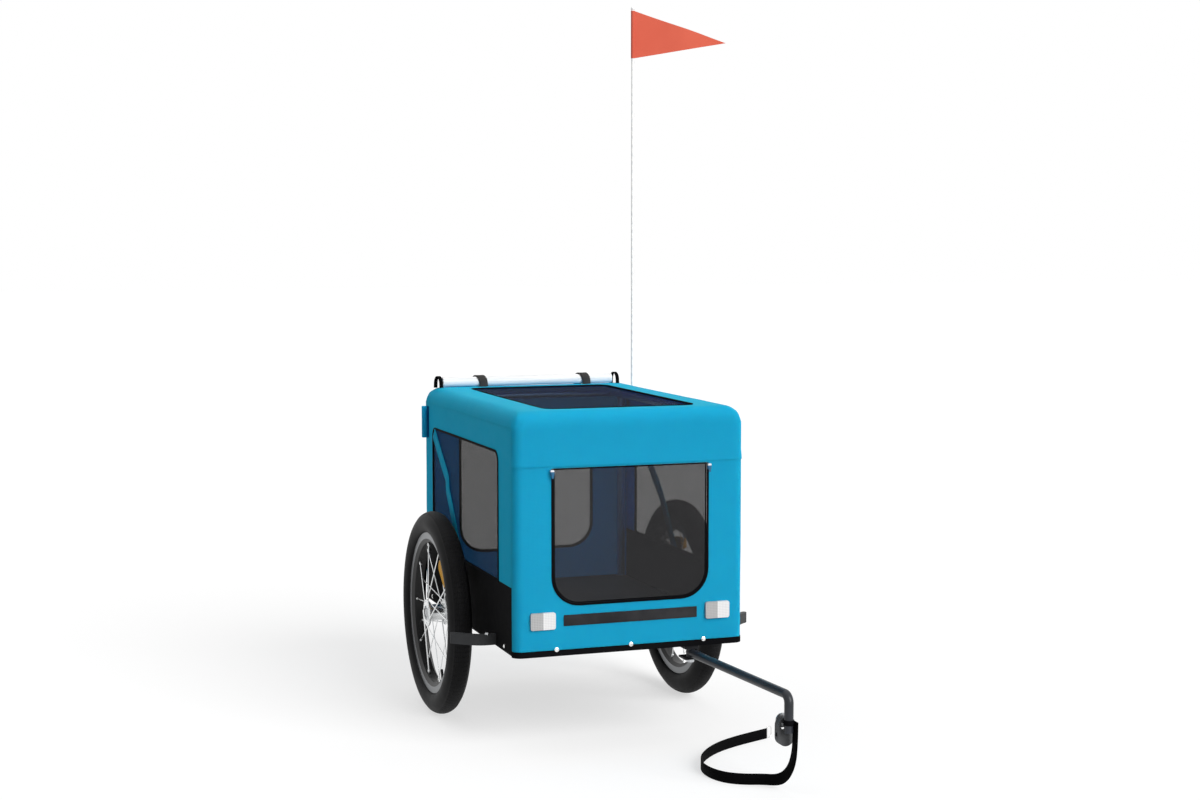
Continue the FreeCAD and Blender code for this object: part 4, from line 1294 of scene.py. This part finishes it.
    def stretch_mesh(
        self, name: str, opening: Opening, face: float, body: str, weave: KnitMesh, node: str
    ) -> None:
        """One mesh sheet that laps behind its opening's edge.

        Args:
            name: the piece's name.
            opening: the opening that it closes.
            face: where it lies along the opening's normal.
            body: the body that it rides on.
            weave: its knit.
            node: the node that it stands for.
        """
        sheet = opening.plate(name, self.knit_lap, (face - self.knit / 2, face + self.knit / 2))
        with editing(sheet):
            for index, start, end in zip(opening.normal.others, opening.low, opening.high):
                slice_across(Axis(index), steps_between(start, end, self.cell), 0.1 * MM)
        smooth(sheet, 30.0)
        hand_over(sheet, body, weave, (node,))

    def build_bindings(self) -> None:
        """Black tape sewn round every window."""
        faces = (
            ("roof", "roof_window_binding", self.high.z, 1, self.roof_binding),
            ("rear", "rear_window_binding", self.high.y, 1, self.binding),
            ("side", "side_window_binding_left", self.low.x, -1, self.binding),
            ("side", "side_window_binding_right", self.high.x, 1, self.binding),
        )
        for key, name, face, outward, width in faces:
            depth = (face - outward * self.binding_depth, face + outward * self.binding_height)
            inside = width * self.binding_inside
            band = self.openings[key].band(name, -inside, width - inside, depth, self.tape_edge)
            hand_over(band, "root", BLACK_TAPE)

    def build_fastenings(self) -> None:
        """The zip's tape round the door, open at the top, and the hook strip below it."""
        low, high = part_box("zip_tape")
        door = self.openings["door"]
        width = high.x - door.high[0]
        hem = self.hem - self.hem_gap
        depth = (low.y, high.y)
        tape = door.topped(hem).plate("zip_tape_sewn", width, depth)
        door.topped(hem + 2 * width).cut_from(tape, 0, depth)
        with editing(tape):
            bpy.ops.mesh.select_all(action="SELECT")
            top = {"plane_co": Vector((0, 0, hem)), "plane_no": Axis.Z.vector}
            bpy.ops.mesh.bisect(**top, clear_outer=True, use_fill=True)
        round_over(tape, self.zip_edge)
        turn_outwards(tape)
        smooth(tape)
        hand_over(tape, "root", BLACK_TAPE, ("zip_tape",))
        low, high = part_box("hook_strip")
        radii = (self.strip_radius, self.strip_radius)
        strip = rounded_plate("hook_strip_pile", Axis.Y, low.xz, high.xz, radii, (low.y, high.y), 4)
        round_over(strip, self.tape_edge)
        smooth(strip)
        hand_over(strip, "root", PILE_CLOTH, ("hook_strip",))

    def build_door(self) -> None:
        """The front flap: mesh in a bound edge, on its own body."""
        low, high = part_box("door_binding")
        outer = -self.door_gap
        inner = outer - self.door_edge
        depth = (low.y - self.door_proud, high.y)
        band = self.openings["door"].band("door_bound_edge", inner, outer, depth, self.tape_edge)
        hand_over(band, "front_door", BLACK_TAPE, ("door_binding",))
        radii = (self.door_radius + inner - self.knit_lap, 0.0)
        opening = self.outline("door_mesh", Axis.Y, self.door_tuck - self.knit_lap, radii)
        face = sum(corner.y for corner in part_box("door_mesh")) / 2
        weave = KnitMesh("black_knit_of_door", Axis.Y, 45.0)
        self.stretch_mesh("door_window_mesh", opening, face, "front_door", weave, "door_mesh")

    def build(self) -> None:
        """Makes the whole cabin."""
        self.build_panels()
        self.build_meshes()
        self.build_bindings()
        self.build_fastenings()
        self.build_door()


@dataclass
class Trim:
    """What is fixed on the cover: snaps, braces, the rolled rain cover and the flag sleeves."""

    cabin: Cabin
    snap_radius: float = 4.2 * MM
    snap_rim: float = 1.25 * MM
    snap_steps_mm: tuple[Pair, ...] = ((0.3, 0), (0.9, 0.75), (0.2, 0), (0.6, 0.375), (1.2, 0.125))
    snap_rise: float = 12 * MM
    front_snap_inset: float = 5.5 * MM
    side_snap_inset: float = 62 * MM
    brace_width: float = 26 * MM
    brace_thickness: float = 1.2 * MM
    brace_gap: float = 0.3 * MM
    brace_foot_place: float = 222 * MM
    brace_foot_lap: float = 9 * MM
    # Millimetres towards the front and down from the side window's upper rear corner.
    left_brace: tuple[Pair, ...] = (
        (14, 9), (60, 47), (112, 87), (117, 92), (119, 111), (122, 117), (166, 170)
    )
    right_brace: tuple[Pair, ...] = (
        (14, 9), (40, 40), (68, 75), (97, 100), (123, 122), (141, 139), (159, 160), (181, 192)
    )
    roll_turns: float = 3.6
    roll_start: float = 2.0  # the angle at which the film's free edge lies, in radians
    roll_step: float = 2.0 * MM
    steps_per_turn: int = 40
    roll_parts: int = 12
    film: float = 0.7 * MM
    crease: float = 0.8 * MM
    crease_size: float = 0.05
    crease_level: float = 0.6  # the tone of the crease pattern that leaves the film where it is
    strap_width: float = 18 * MM
    strap_slant: float = 14 * MM
    end_strap_width: float = 8 * MM
    end_strap_slant: float = 6 * MM
    end_strap_gap: float = 1.5 * MM
    strap_gap: float = 0.3 * MM
    strap_drop: float = 1.2 * MM  # how far a strap's rear foot goes below the roof's top
    strap_thickness: float = 1.2 * MM
    strap_spacing: float = 226 * MM
    sleeve_bore: float = 3.6 * MM
    sleeve_wall: float = 2.4 * MM
    sleeve_edge: float = 0.6 * MM
    sleeve_cloth: float = 0.9  # share of the sleeve's wall that the cloth fills
    tab: float = 2 * MM
    tab_radius: float = 3 * MM
    tab_edge: float = 0.5 * MM

    def snap_cap(self) -> Piece:
        """One snap stud at the origin, facing up: a flat rim with a domed cap.

        Returns:
            The new object.
        """
        cap = cylinder("snap", self.snap_radius, self.snap_rim, (0, 0, self.snap_rim / 2), 20, "NGON")
        with editing(cap):
            pick(cap, Element.FACE, lambda at, normal: normal.z > ALIGNED)
            for inset, rise in self.snap_steps_mm:
                bpy.ops.mesh.inset(thickness=inset * MM, depth=rise * MM)
        smooth(cap, 60.0)
        return cap

    def build_snaps(self) -> None:
        """Copies the snap stud to its places along the cabin's foot."""
        low, high, middle = self.cabin.low, self.cabin.high, self.cabin.middle
        level = low.z + self.snap_rise
        reach = self.cabin.openings["door"].high[0] - middle.x - self.front_snap_inset
        seats = []
        for across in (-reach, 0.0, reach):
            for end, way in ((low.y, -1), (high.y, 1)):
                seats.append((Vector((middle.x + across, end, level)), way * Axis.Y.vector))
        for along in (low.y + self.side_snap_inset, high.y - self.side_snap_inset):
            for side in Side:
                seats.append((Vector((side.outer(low, high), along, level)), side.value * Axis.X.vector))
        first = self.snap_cap()
        copies = []
        for seat, outward in seats:
            copies.append(add_object("snap", first.data.copy()))
            turn = outward.to_track_quat("Z", "Y").to_matrix().to_4x4()
            copies[-1].data.transform(Matrix.Translation(seat) @ turn)
        bpy.data.objects.remove(first)
        hand_over(join(copies, "snap_caps"), "root", NICKEL, ("snap_studs",))

    def build_braces(self) -> None:
        """A webbing brace over each side window, from its upper rear corner down to the lower panel."""
        cabin = self.cabin
        rear, top = cabin.openings["side"].high
        foot = cabin.lower_top - self.brace_foot_lap
        lift = self.brace_gap + self.brace_thickness / 2 + cabin.softness / 2
        for side, route in zip(Side, (self.left_brace, self.right_brace)):
            out = side.outer(cabin.low, cabin.high) + side.value * lift
            points = [Vector((out, rear - back * MM, top - down * MM)) for back, down in route]
            line = smooth_line(points + [Vector((out, rear - self.brace_foot_place, foot))])
            normals = [Axis.X.vector * side.value] * len(line)
            band = ribbon(f"brace_{side.word}", line, normals, self.brace_width, self.brace_thickness)
            hand_over(band, "root", BLUE_WEBBING, ("brace_straps",))

    def build_roll(self) -> None:
        """The rolled film with its spiral ends."""
        low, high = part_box("rain_cover_roll")
        middle = (low + high) / 2
        length = high.x - low.x
        count = int(self.roll_turns * self.steps_per_turn)
        spiral = []
        for index in range(count + 1):
            turn = index / self.steps_per_turn
            reach = (high.y - low.y) / 2 - self.film / 2 - self.roll_step * turn
            angle = 2 * math.pi * turn + self.roll_start
            along, level = middle.y + reach * math.sin(angle), middle.z + reach * math.cos(angle)
            spiral.append(Vector((low.x, along, level)))
        mesh = bpy.data.meshes.new("rain_cover")
        mesh.from_pydata(spiral, [(index, index + 1) for index in range(count)], [])
        roll = add_object("rain_cover", mesh)
        with editing(roll):
            bpy.ops.mesh.select_all(action="SELECT")
            for _ in range(self.roll_parts):
                step = {"value": (length / self.roll_parts, 0, 0)}
                bpy.ops.mesh.extrude_region_move(TRANSFORM_OT_translate=step)
        creases = bpy.data.textures.new("creases", "CLOUDS")
        creases.noise_scale = self.crease_size
        settings = {"strength": self.crease, "mid_level": self.crease_level, "texture_coords": "LOCAL"}
        apply_modifier(roll, "DISPLACE", texture=creases, **settings)
        apply_modifier(roll, "SOLIDIFY", thickness=self.film, offset=0.0)
        smooth(roll, 60.0)
        hand_over(roll, "root", FILM, ("rain_cover_roll",))

    def roll_strap(self, place: float, width: float, slant: float) -> Piece:
        """One strap arched over the roll, from the roof before it to the roof behind it.

        Args:
            place: where its middle lies across the trailer.
            width: the webbing's width.
            slant: how far its rear foot is set aside from its front one.

        Returns:
            The new object.
        """
        low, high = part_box("rain_cover_roll")
        centre = (low + high) / 2
        centre.x = place
        reach = (high.y - low.y) / 2 + self.strap_gap + self.strap_thickness / 2
        turns = [math.radians(degrees) for degrees in range(-90, 91, 10)]
        arch = [centre + reach * Vector((0, math.sin(turn), math.cos(turn))) for turn in turns]
        foot = self.cabin.high.z
        start = Vector((place, centre.y - reach, foot))
        end = Vector((place, centre.y + reach, foot - self.strap_drop))
        line = [start, start.lerp(arch[0], 0.5), *arch, end.lerp(arch[-1], 0.5), end]
        normals = [(point - centre).normalized() for point in line]
        for index, point in enumerate(line):
            point.x += slant * (0.5 - index / (len(line) - 1))
        return ribbon("roll_strap", line, normals, width, self.strap_thickness)

    def build_roll_straps(self) -> None:
        """Two wide straps that hold the roll to the roof and a narrow loop beyond each of its ends."""
        low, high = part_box("rain_cover_roll")
        beyond = self.end_strap_gap + (self.end_strap_width + self.end_strap_slant) / 2
        aside = self.strap_spacing / 2
        middle = self.cabin.middle.x
        wide, narrow = (self.strap_width, self.strap_slant), (self.end_strap_width, self.end_strap_slant)
        pairs = (
            ("roll_holders", (middle - aside, middle + aside), wide, GREY_WEBBING),
            ("roll_end_loops", (low.x - beyond, high.x + beyond), narrow, BLACK_WEBBING),
        )
        for name, places, size, finish in pairs:
            straps = [self.roll_strap(place, *size) for place in places]
            hand_over(join(straps, name), "root", finish, ("roll_straps",))

    def build_sleeves(self) -> None:
        """The sewn sleeve for a flag pole at each rear corner."""
        low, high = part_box("flag_sleeves")
        middle = (low + high) / 2
        radius = self.sleeve_bore + self.sleeve_wall / 2
        for side in Side:
            middle.x = side.outer(low, high) - side.value * (self.sleeve_bore + self.sleeve_wall)
            tube = cylinder(f"flag_sleeve_{side.word}", radius, high.z - low.z, middle, 32)
            with editing(tube):
                bpy.ops.mesh.select_all(action="SELECT")
                bpy.ops.mesh.subdivide(number_cuts=4)
            apply_modifier(tube, "SOLIDIFY", thickness=self.sleeve_wall * self.sleeve_cloth, offset=0.0)
            round_over(tube, self.sleeve_edge)
            face = side.outer(self.cabin.low, self.cabin.high)
            radii, depth = (self.tab_radius, self.tab_radius), (face, face + side.value * self.tab)
            flap = rounded_plate(f"flag_sleeve_tab_{side.word}", Axis.X, low.yz, high.yz, radii, depth, 5)
            round_over(flap, self.tab_edge)
            # the tab is painted shade: navy for the shadow beside the sleeve, while the sleeve itself is in
            # the cover's blue
            for piece, finish in ((flap, NAVY_SHADE_CLOTH), (tube, BLUE_CLOTH)):
                smooth(piece)
                hand_over(piece, "root", finish, ("flag_sleeves",))

    def build(self) -> None:
        """Makes all the trim."""
        self.build_snaps()
        self.build_braces()
        self.build_roll()
        self.build_roll_straps()
        self.build_sleeves()


@dataclass
class Wheel:
    """One spoked wheel: the treaded tyre and its valve are modelled here, the metal is the frame's own."""

    side: Side
    section: float = 24 * MM
    tread_depth: float = 0.6 * MM
    tread_groove: float = 0.6 * MM
    tread_band: float = 6 * MM
    bead: float = 11.7 * MM
    bead_gap: float = 0.5 * MM
    rim_edge: float = 158.8 * MM
    rim_seat: float = 150.3 * MM
    wall: float = 3.5 * MM
    steps: int = 120
    valve_turn_deg: float = 200.0
    valve_seat: float = 139 * MM
    valve_radius: float = 2.6 * MM
    valve_foot: float = 6 * MM
    valve_stem: float = 11 * MM
    cap_step: float = 0.9 * MM
    cap_height: float = 7 * MM
    cap_edge: float = 1 * MM
    cap_crown: float = 1.5 * MM

    def __post_init__(self) -> None:
        """Reads the wheel's centre and radius from the frame."""
        low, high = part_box(f"tyre_{self.side.word}")
        self.centre = (low + high) / 2
        self.radius = (high.z - low.z) / 2

    def reach(self, point: Vector) -> float:
        """A point's distance from the axle's line."""
        return math.hypot(point.y - self.centre.y, point.z - self.centre.z)

    def build_tyre(self) -> None:
        """Spins the tyre's section round the axle and raises its tread blocks."""
        centre = self.centre
        crown = self.radius - self.section
        bpy.ops.object.select_all(action="DESELECT")
        bpy.ops.mesh.primitive_circle_add(
            vertices=44,
            radius=self.section - self.tread_depth,
            location=centre + Vector((0, 0, crown)),
            rotation=(math.pi / 2, 0, 0),
        )
        tyre = take_new(f"tyre_treaded_{self.side.word}")
        edge = centre.z + self.rim_edge + self.bead_gap
        with editing(tyre):
            pick(tyre, Element.VERT, lambda at, _: at.z < edge)
            bpy.ops.mesh.delete(type="VERT")
            for level in (self.rim_edge, self.rim_seat):
                shape = bmesh.from_edit_mesh(tyre.data)
                for vert in [vert for vert in shape.verts if len(vert.link_edges) == 1]:
                    way = 1 if vert.co.x > centre.x else -1
                    added = shape.verts.new(centre + Vector((way * self.bead, 0, level)))
                    shape.edges.new((vert, added))
                bmesh.update_edit_mesh(tyre.data)
            bpy.ops.mesh.select_all(action="SELECT")
            bpy.ops.mesh.spin(
                steps=self.steps, angle=2 * math.pi, center=centre, axis=(1, 0, 0), use_auto_merge=True
            )
        turn_outwards(tyre, 0.01 * MM)
        outwards = 0.0
        for face in tyre.data.polygons:
            if self.reach(face.center) > crown:
                outwards += face.normal.dot((face.center - centre) * Vector((0, 1, 1)))
        with editing(tyre):
            if outwards < 0:
                bpy.ops.mesh.select_all(action="SELECT")
                bpy.ops.mesh.flip_normals()
            pick(tyre, Element.FACE, lambda at, _: self.reach(at) > self.radius - self.tread_band)
            bpy.ops.mesh.inset(thickness=self.tread_groove, depth=self.tread_depth, use_individual=True)
        apply_modifier(tyre, "SOLIDIFY", thickness=self.wall, offset=-1.0)
        smooth(tyre, 40.0)
        word = self.side.word
        hand_over(tyre, f"wheel_{word}", TYRE_RUBBER, (f"tyre_{word}",))

    def build_valve(self) -> None:
        """The valve stem and its cap, standing inwards from the rim."""
        foot = (0, 0, -self.valve_foot / 2)
        name = f"valve_{self.side.word}"
        valve = cylinder(name, self.valve_radius, self.valve_foot, foot, 16, "NGON")
        with editing(valve):
            pick(valve, Element.FACE, lambda at, normal: normal.z < -ALIGNED)
            bpy.ops.mesh.extrude_region_move(TRANSFORM_OT_translate={"value": (0, 0, -self.valve_stem)})
            bpy.ops.mesh.inset(thickness=-self.cap_step)
            bpy.ops.mesh.extrude_region_move(TRANSFORM_OT_translate={"value": (0, 0, -self.cap_height)})
            bpy.ops.mesh.inset(thickness=self.cap_edge, depth=self.cap_crown)
        turn = math.radians(self.valve_turn_deg)
        seat = self.centre + Vector((0, math.sin(turn), math.cos(turn))) * self.valve_seat
        valve.data.transform(Matrix.Translation(seat) @ Matrix.Rotation(-turn, 4, "X"))
        turn_outwards(valve)
        smooth(valve, 40.0)
        hand_over(valve, f"wheel_{self.side.word}", TYRE_RUBBER)

    def build(self) -> None:
        """Makes the wheel's rubber."""
        self.build_tyre()
        self.build_valve()


@dataclass
class SafetyStrap:
    """The webbing that hangs from the drawbar's end and lies on its edge on the ground."""

    width: float = 20 * MM
    thickness: float = 2 * MM
    length: float = 0.59
    least_run: float = 0.15  # share of the way that must be level before the strap turns with it
    tube_radius: float = 8 * MM
    loop_radius: float = 8.9 * MM
    loop_thickness: float = 1.2 * MM
    loop_height: float = 9 * MM
    loop_top: float = 130 * MM
    loop_edge: float = 0.4 * MM
    # Millimetres from the point on the ground below the drawbar's end.
    route: tuple[Triple, ...] = (
        (9.3, -7, 128), (9.3, -7, 95), (9.3, 0, 58), (8, 20, 30), (4, 47, 13), (-15, 72, 10),
        (-44, 81, 10), (-71, 101, 10), (-85, 136, 10), (-85, 178, 10), (-68, 221, 10), (-40, 259, 10),
        (-5, 291, 10), (35, 315, 10), (79, 335, 10), (119, 351, 10),
    )

    def build(self) -> None:
        """Lays the strap along its route and loops it round the tube."""
        low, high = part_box("drawbar_tube")
        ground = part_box("tyre_left")[0].z
        drop = Vector((high.x - self.tube_radius, low.y + self.tube_radius, ground))
        line = smooth_line([drop + Vector(point) * MM for point in self.route])
        normals = []
        facing = Axis.X.vector
        for index in range(len(line)):
            along = along_line(line, index)
            if along.xy.length > self.least_run * along.length:
                facing = Vector((along.y, -along.x, 0)).normalized()
            normals.append(facing)
        strap = ribbon("strap_webbing", line, normals, self.width, self.thickness)
        middle = drop + Vector((0, 0, self.loop_top - self.loop_height / 2))
        loop = cylinder("strap_loop", self.loop_radius, self.loop_height, middle, 48)
        apply_modifier(loop, "SOLIDIFY", thickness=self.loop_thickness, offset=0.0)
        round_over(loop, self.loop_edge)
        smooth(loop)
        hand_over(strap, "drawbar", BLACK_WEBBING, ("safety_strap",))
        hand_over(loop, "drawbar", BLACK_TAPE, ("safety_strap",))


@dataclass
class Pennant:
    """The flag's cloth: a long triangle sewn round the pole, in a slight wave."""

    hem_radius: float = 3.5 * MM
    hem_lap: float = 0.9  # share of the hem's radius at which the cloth leaves it
    hem_wall: float = 0.8 * MM
    cloth: float = 0.6 * MM
    wave: float = 5 * MM
    waves: float = 1.2
    wave_start: float = 0.6
    tip_drop: float = 60 * MM

    def build(self) -> None:
        """Shapes a grid into the waving triangle and sews its hem."""
        low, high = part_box("pennant")
        pole_low, pole_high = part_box("flag_pole")
        pole = (pole_low + pole_high) / 2
        pole.z = (low.z + high.z) / 2
        reach, height = high.x - pole.x, high.z - low.z
        bpy.ops.object.select_all(action="DESELECT")
        bpy.ops.mesh.primitive_grid_add(x_subdivisions=48, y_subdivisions=14, size=1.0)
        cloth = take_new("pennant_cloth")
        for vert in cloth.data.vertices:
            share, rise = vert.co.x + 0.5, vert.co.y + 0.5
            top = high.z - self.tip_drop * share
            foot = low.z + (height - self.tip_drop) * share
            lift = self.wave * share * math.sin(2 * math.pi * self.waves * share + self.wave_start)
            across = self.hem_radius * self.hem_lap + (reach - self.hem_radius) * share
            vert.co = (pole.x + across, pole.y + lift, foot + (top - foot) * rise)
        turn_outwards(cloth)
        apply_modifier(cloth, "SOLIDIFY", thickness=self.cloth, offset=0.0)
        hem = cylinder("pennant_hem", self.hem_radius, height, pole, 32)
        with editing(hem):
            bpy.ops.mesh.select_all(action="SELECT")
            bpy.ops.mesh.subdivide(number_cuts=8)
        apply_modifier(hem, "SOLIDIFY", thickness=self.hem_wall, offset=0.0)
        for piece in (cloth, hem):
            smooth(piece)
            hand_over(piece, "pennant", FLAG_CLOTH, ("pennant",))


@dataclass
class FrameFinishes:
    """The finishes of the nodes that are shown as they were built."""

    turned_wall: float = 12.5 * MM
    bare_slider: float = 3.5 * MM
    lens_half: float = 23.5 * MM

    def clear_lens(self) -> PrismLens:
        """Clear acrylic over prisms that mirror: white, with one half of each lens in shade.

        Returns:
            The front reflectors' finish.
        """
        low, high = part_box("front_reflectors")
        splits = (low.x + self.lens_half, (low.x + high.x) / 2, high.x - self.lens_half)
        return PrismLens("clear_prism_acrylic", "#FAFAFA", "#D9D9DA", split_places=splits)

    def rim_alloy(self) -> TwoTone:
        """Black paint on alloy with its walls turned bare: a dull grey ring round a dark well.

        Returns:
            The rims' finish.
        """
        low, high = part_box("rim_left")
        edge = (high.z - low.z) / 2 - self.turned_wall
        paint, bare = Look("#0C0C0D", 0.0, 0.45), Look("#808284", 1.0, 0.4)
        centre = tuple((low + high) / 2)
        return TwoTone("black_rim_with_turned_walls", Measure.REACH, centre, edge, paint, bare)

    def slider_enamel(self) -> TwoTone:
        """Blue enamel on cast zinc, with the bridge at the top left bright.

        Returns:
            The zip sliders' finish.
        """
        top = tuple(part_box("zip_slider_left")[1])
        paint, bare = Look("#125E86", 0.0, 0.6), Look("#D8DADD", 1.0, 0.35)
        return TwoTone("enamelled_zip_slider", Measure.HEIGHT, top, -self.bare_slider, paint, bare)

    def build(self) -> None:
        """Gives every shown node its material."""
        rails = ("frame_rail_front", "frame_rail_rear", "frame_rails_side", "cross_members", "axle_beam")
        axle = ("stub_axles", "axle_nuts", "hub_bearings_left", "hub_bearings_right")
        finishes = {
            POWDER_COAT: (*rails, "axle_brackets", "drawbar_bracket"),
            ANODISED: ("hoop_front", "hoop_rear", "roof_bars"),
            DRAWBAR_COAT: ("drawbar_tube",),
            BOARD: ("floor_board",),
            BLACK_PLASTIC: ("flag_socket",),
            GREY_PLASTIC: ("wheel_guards",),
            ZINC: (*axle, "hoop_spigots", "guard_screws", "pivot_bolt", "pivot_nut", "coupling_pin"),
            NICKEL: ("strap_ring",),
            self.slider_enamel(): ("zip_slider_left", "zip_slider_right"),
            self.rim_alloy(): ("rim_left", "rim_right"),
            HUB_ALLOY: ("hub_left", "hub_right"),
            SPOKE_STEEL: ("spokes_left", "spokes_right"),
            AMBER_LENS: ("spoke_reflector_left", "spoke_reflector_right"),
            self.clear_lens(): ("front_reflectors",),
            TONGUE_RUBBER: ("coupling_tongue",),
            POLE: ("flag_pole",),
        }
        for finish, names in finishes.items():
            for name in names:
                materials = frame["nodes"][name].data.materials
                materials.clear()
                materials.append(finish.material())
                LOG.info("%s in %s", name, finish.name)


@dataclass
class Studio:
    """The photograph's camera, a plain pale floor and soft light."""

    place: Triple = (-1.21567, -3.67243, 0.94363)
    yaw_deg: float = 19.49
    pitch_deg: float = 4.869
    focal_px: float = 1932.6
    image_px: float = 1200.0
    sensor_mm: float = 36.0
    world_light: float = 0.42
    floor_size: float = 60.0
    floor_tone: float = 0.45
    floor_glow: float = 0.6

    def __post_init__(self) -> None:
        """Finds the point on the ground below the middle of the axle."""
        corners = [*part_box("tyre_left"), *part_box("tyre_right")]
        self.axle = sum(corners, Vector()) / len(corners)
        self.axle.z = corners[0].z

    def build_camera(self) -> None:
        """Puts the camera where the photograph was taken from."""
        camera = bpy.data.cameras.new("photo_camera")
        camera.sensor_width = self.sensor_mm
        camera.sensor_fit = "HORIZONTAL"
        camera.lens = self.focal_px / self.image_px * self.sensor_mm
        holder = add_object("photo_camera", camera)
        holder.location = self.axle + Vector(self.place)
        yaw, pitch = math.radians(self.yaw_deg), math.radians(self.pitch_deg)
        look = Vector((math.sin(yaw) * math.cos(pitch), math.cos(yaw) * math.cos(pitch), -math.sin(pitch)))
        holder.rotation_euler = look.to_track_quat("-Z", "Y").to_euler()
        bpy.context.scene.camera = holder

    def backdrop_share(self, tree: Tree) -> Socket:
        """A value of 1 for rays that see the background: from the camera, in a mirror or through glass.

        Args:
            tree: the nodes of the world or of the floor's material.

        Returns:
            The value.
        """
        share = 0.0
        for ray in ("Is Camera Ray", "Is Glossy Ray", "Is Transmission Ray"):
            seen = add_node(tree, "LightPath", output=ray)
            share = add_node(tree, "Math", {0: share, 1: seen}, operation="MAXIMUM")
        return share

    def build_world(self) -> None:
        """White where the camera sees it, softer where it lights the object."""
        world = bpy.data.worlds.new("studio")
        bpy.context.scene.world = world
        world.use_nodes = True
        tree = world.node_tree
        limits = {"To Min": self.world_light, "To Max": 1.0, "Value": self.backdrop_share(tree)}
        background = tree.nodes["Background"]
        background.inputs["Color"].default_value = WHITE
        tree.links.new(add_node(tree, "MapRange", limits), background.inputs["Strength"])

    def build_floor(self) -> None:
        """A wide pale floor that keeps the object's soft shadow."""
        bpy.ops.object.select_all(action="DESELECT")
        bpy.ops.mesh.primitive_plane_add(size=self.floor_size, location=self.axle)
        floor = take_new("studio_floor")
        material = bpy.data.materials.new("pale_floor")
        material.use_nodes = True
        tree = material.node_tree
        tone = (self.floor_tone, self.floor_tone, self.floor_tone, 1.0)
        matt = {"Base Color": tone, "Roughness": 0.9, "Specular IOR Level": 0.0, "Emission Color": WHITE}
        set_surface(tree, matt)
        limits = {"To Min": 0.0, "To Max": self.floor_glow, "Value": self.backdrop_share(tree)}
        add_node(tree, "MapRange", limits, feeds="Emission Strength")
        floor.data.materials.append(material)

    def build_lamp(self, name: str, place: Triple, spread_deg: float, power: float) -> None:
        """A wide soft lamp, so far off that it lights the floor evenly.

        Args:
            name: the lamp's name.
            place: the direction that its light comes from.
            spread_deg: how wide it looks from the trailer.
            power: its power in watts per square metre.
        """
        lamp = bpy.data.lights.new(name, "SUN")
        lamp.angle = math.radians(spread_deg)
        lamp.energy = power
        add_object(name, lamp).rotation_euler = (-Vector(place)).to_track_quat("-Z", "Y").to_euler()

    def build(self) -> None:
        """Makes the camera, the floor and the light."""
        bpy.context.scene.view_settings.view_transform = "Standard"
        self.build_camera()
        self.build_world()
        self.build_floor()
        self.build_lamp("key_lamp", (0.35, -0.8, 0.5), 40.0, 2.8)
        self.build_lamp("top_lamp", (-0.1, 0.25, 0.95), 60.0, 0.3)


def main() -> None:
    """Builds the studio, the finishes and every piece."""
    logging.basicConfig(level=logging.INFO, format="%(name)s: %(message)s")
    cabin = Cabin()
    parts = [Studio(), FrameFinishes(), SafetyStrap(), cabin, Trim(cabin)]
    parts += [Wheel(Side.LEFT), Wheel(Side.RIGHT), Pennant()]
    for part in parts:
        part.build()
        LOG.info("%s built", type(part).__name__)


if __name__ == "__main__":
    main()
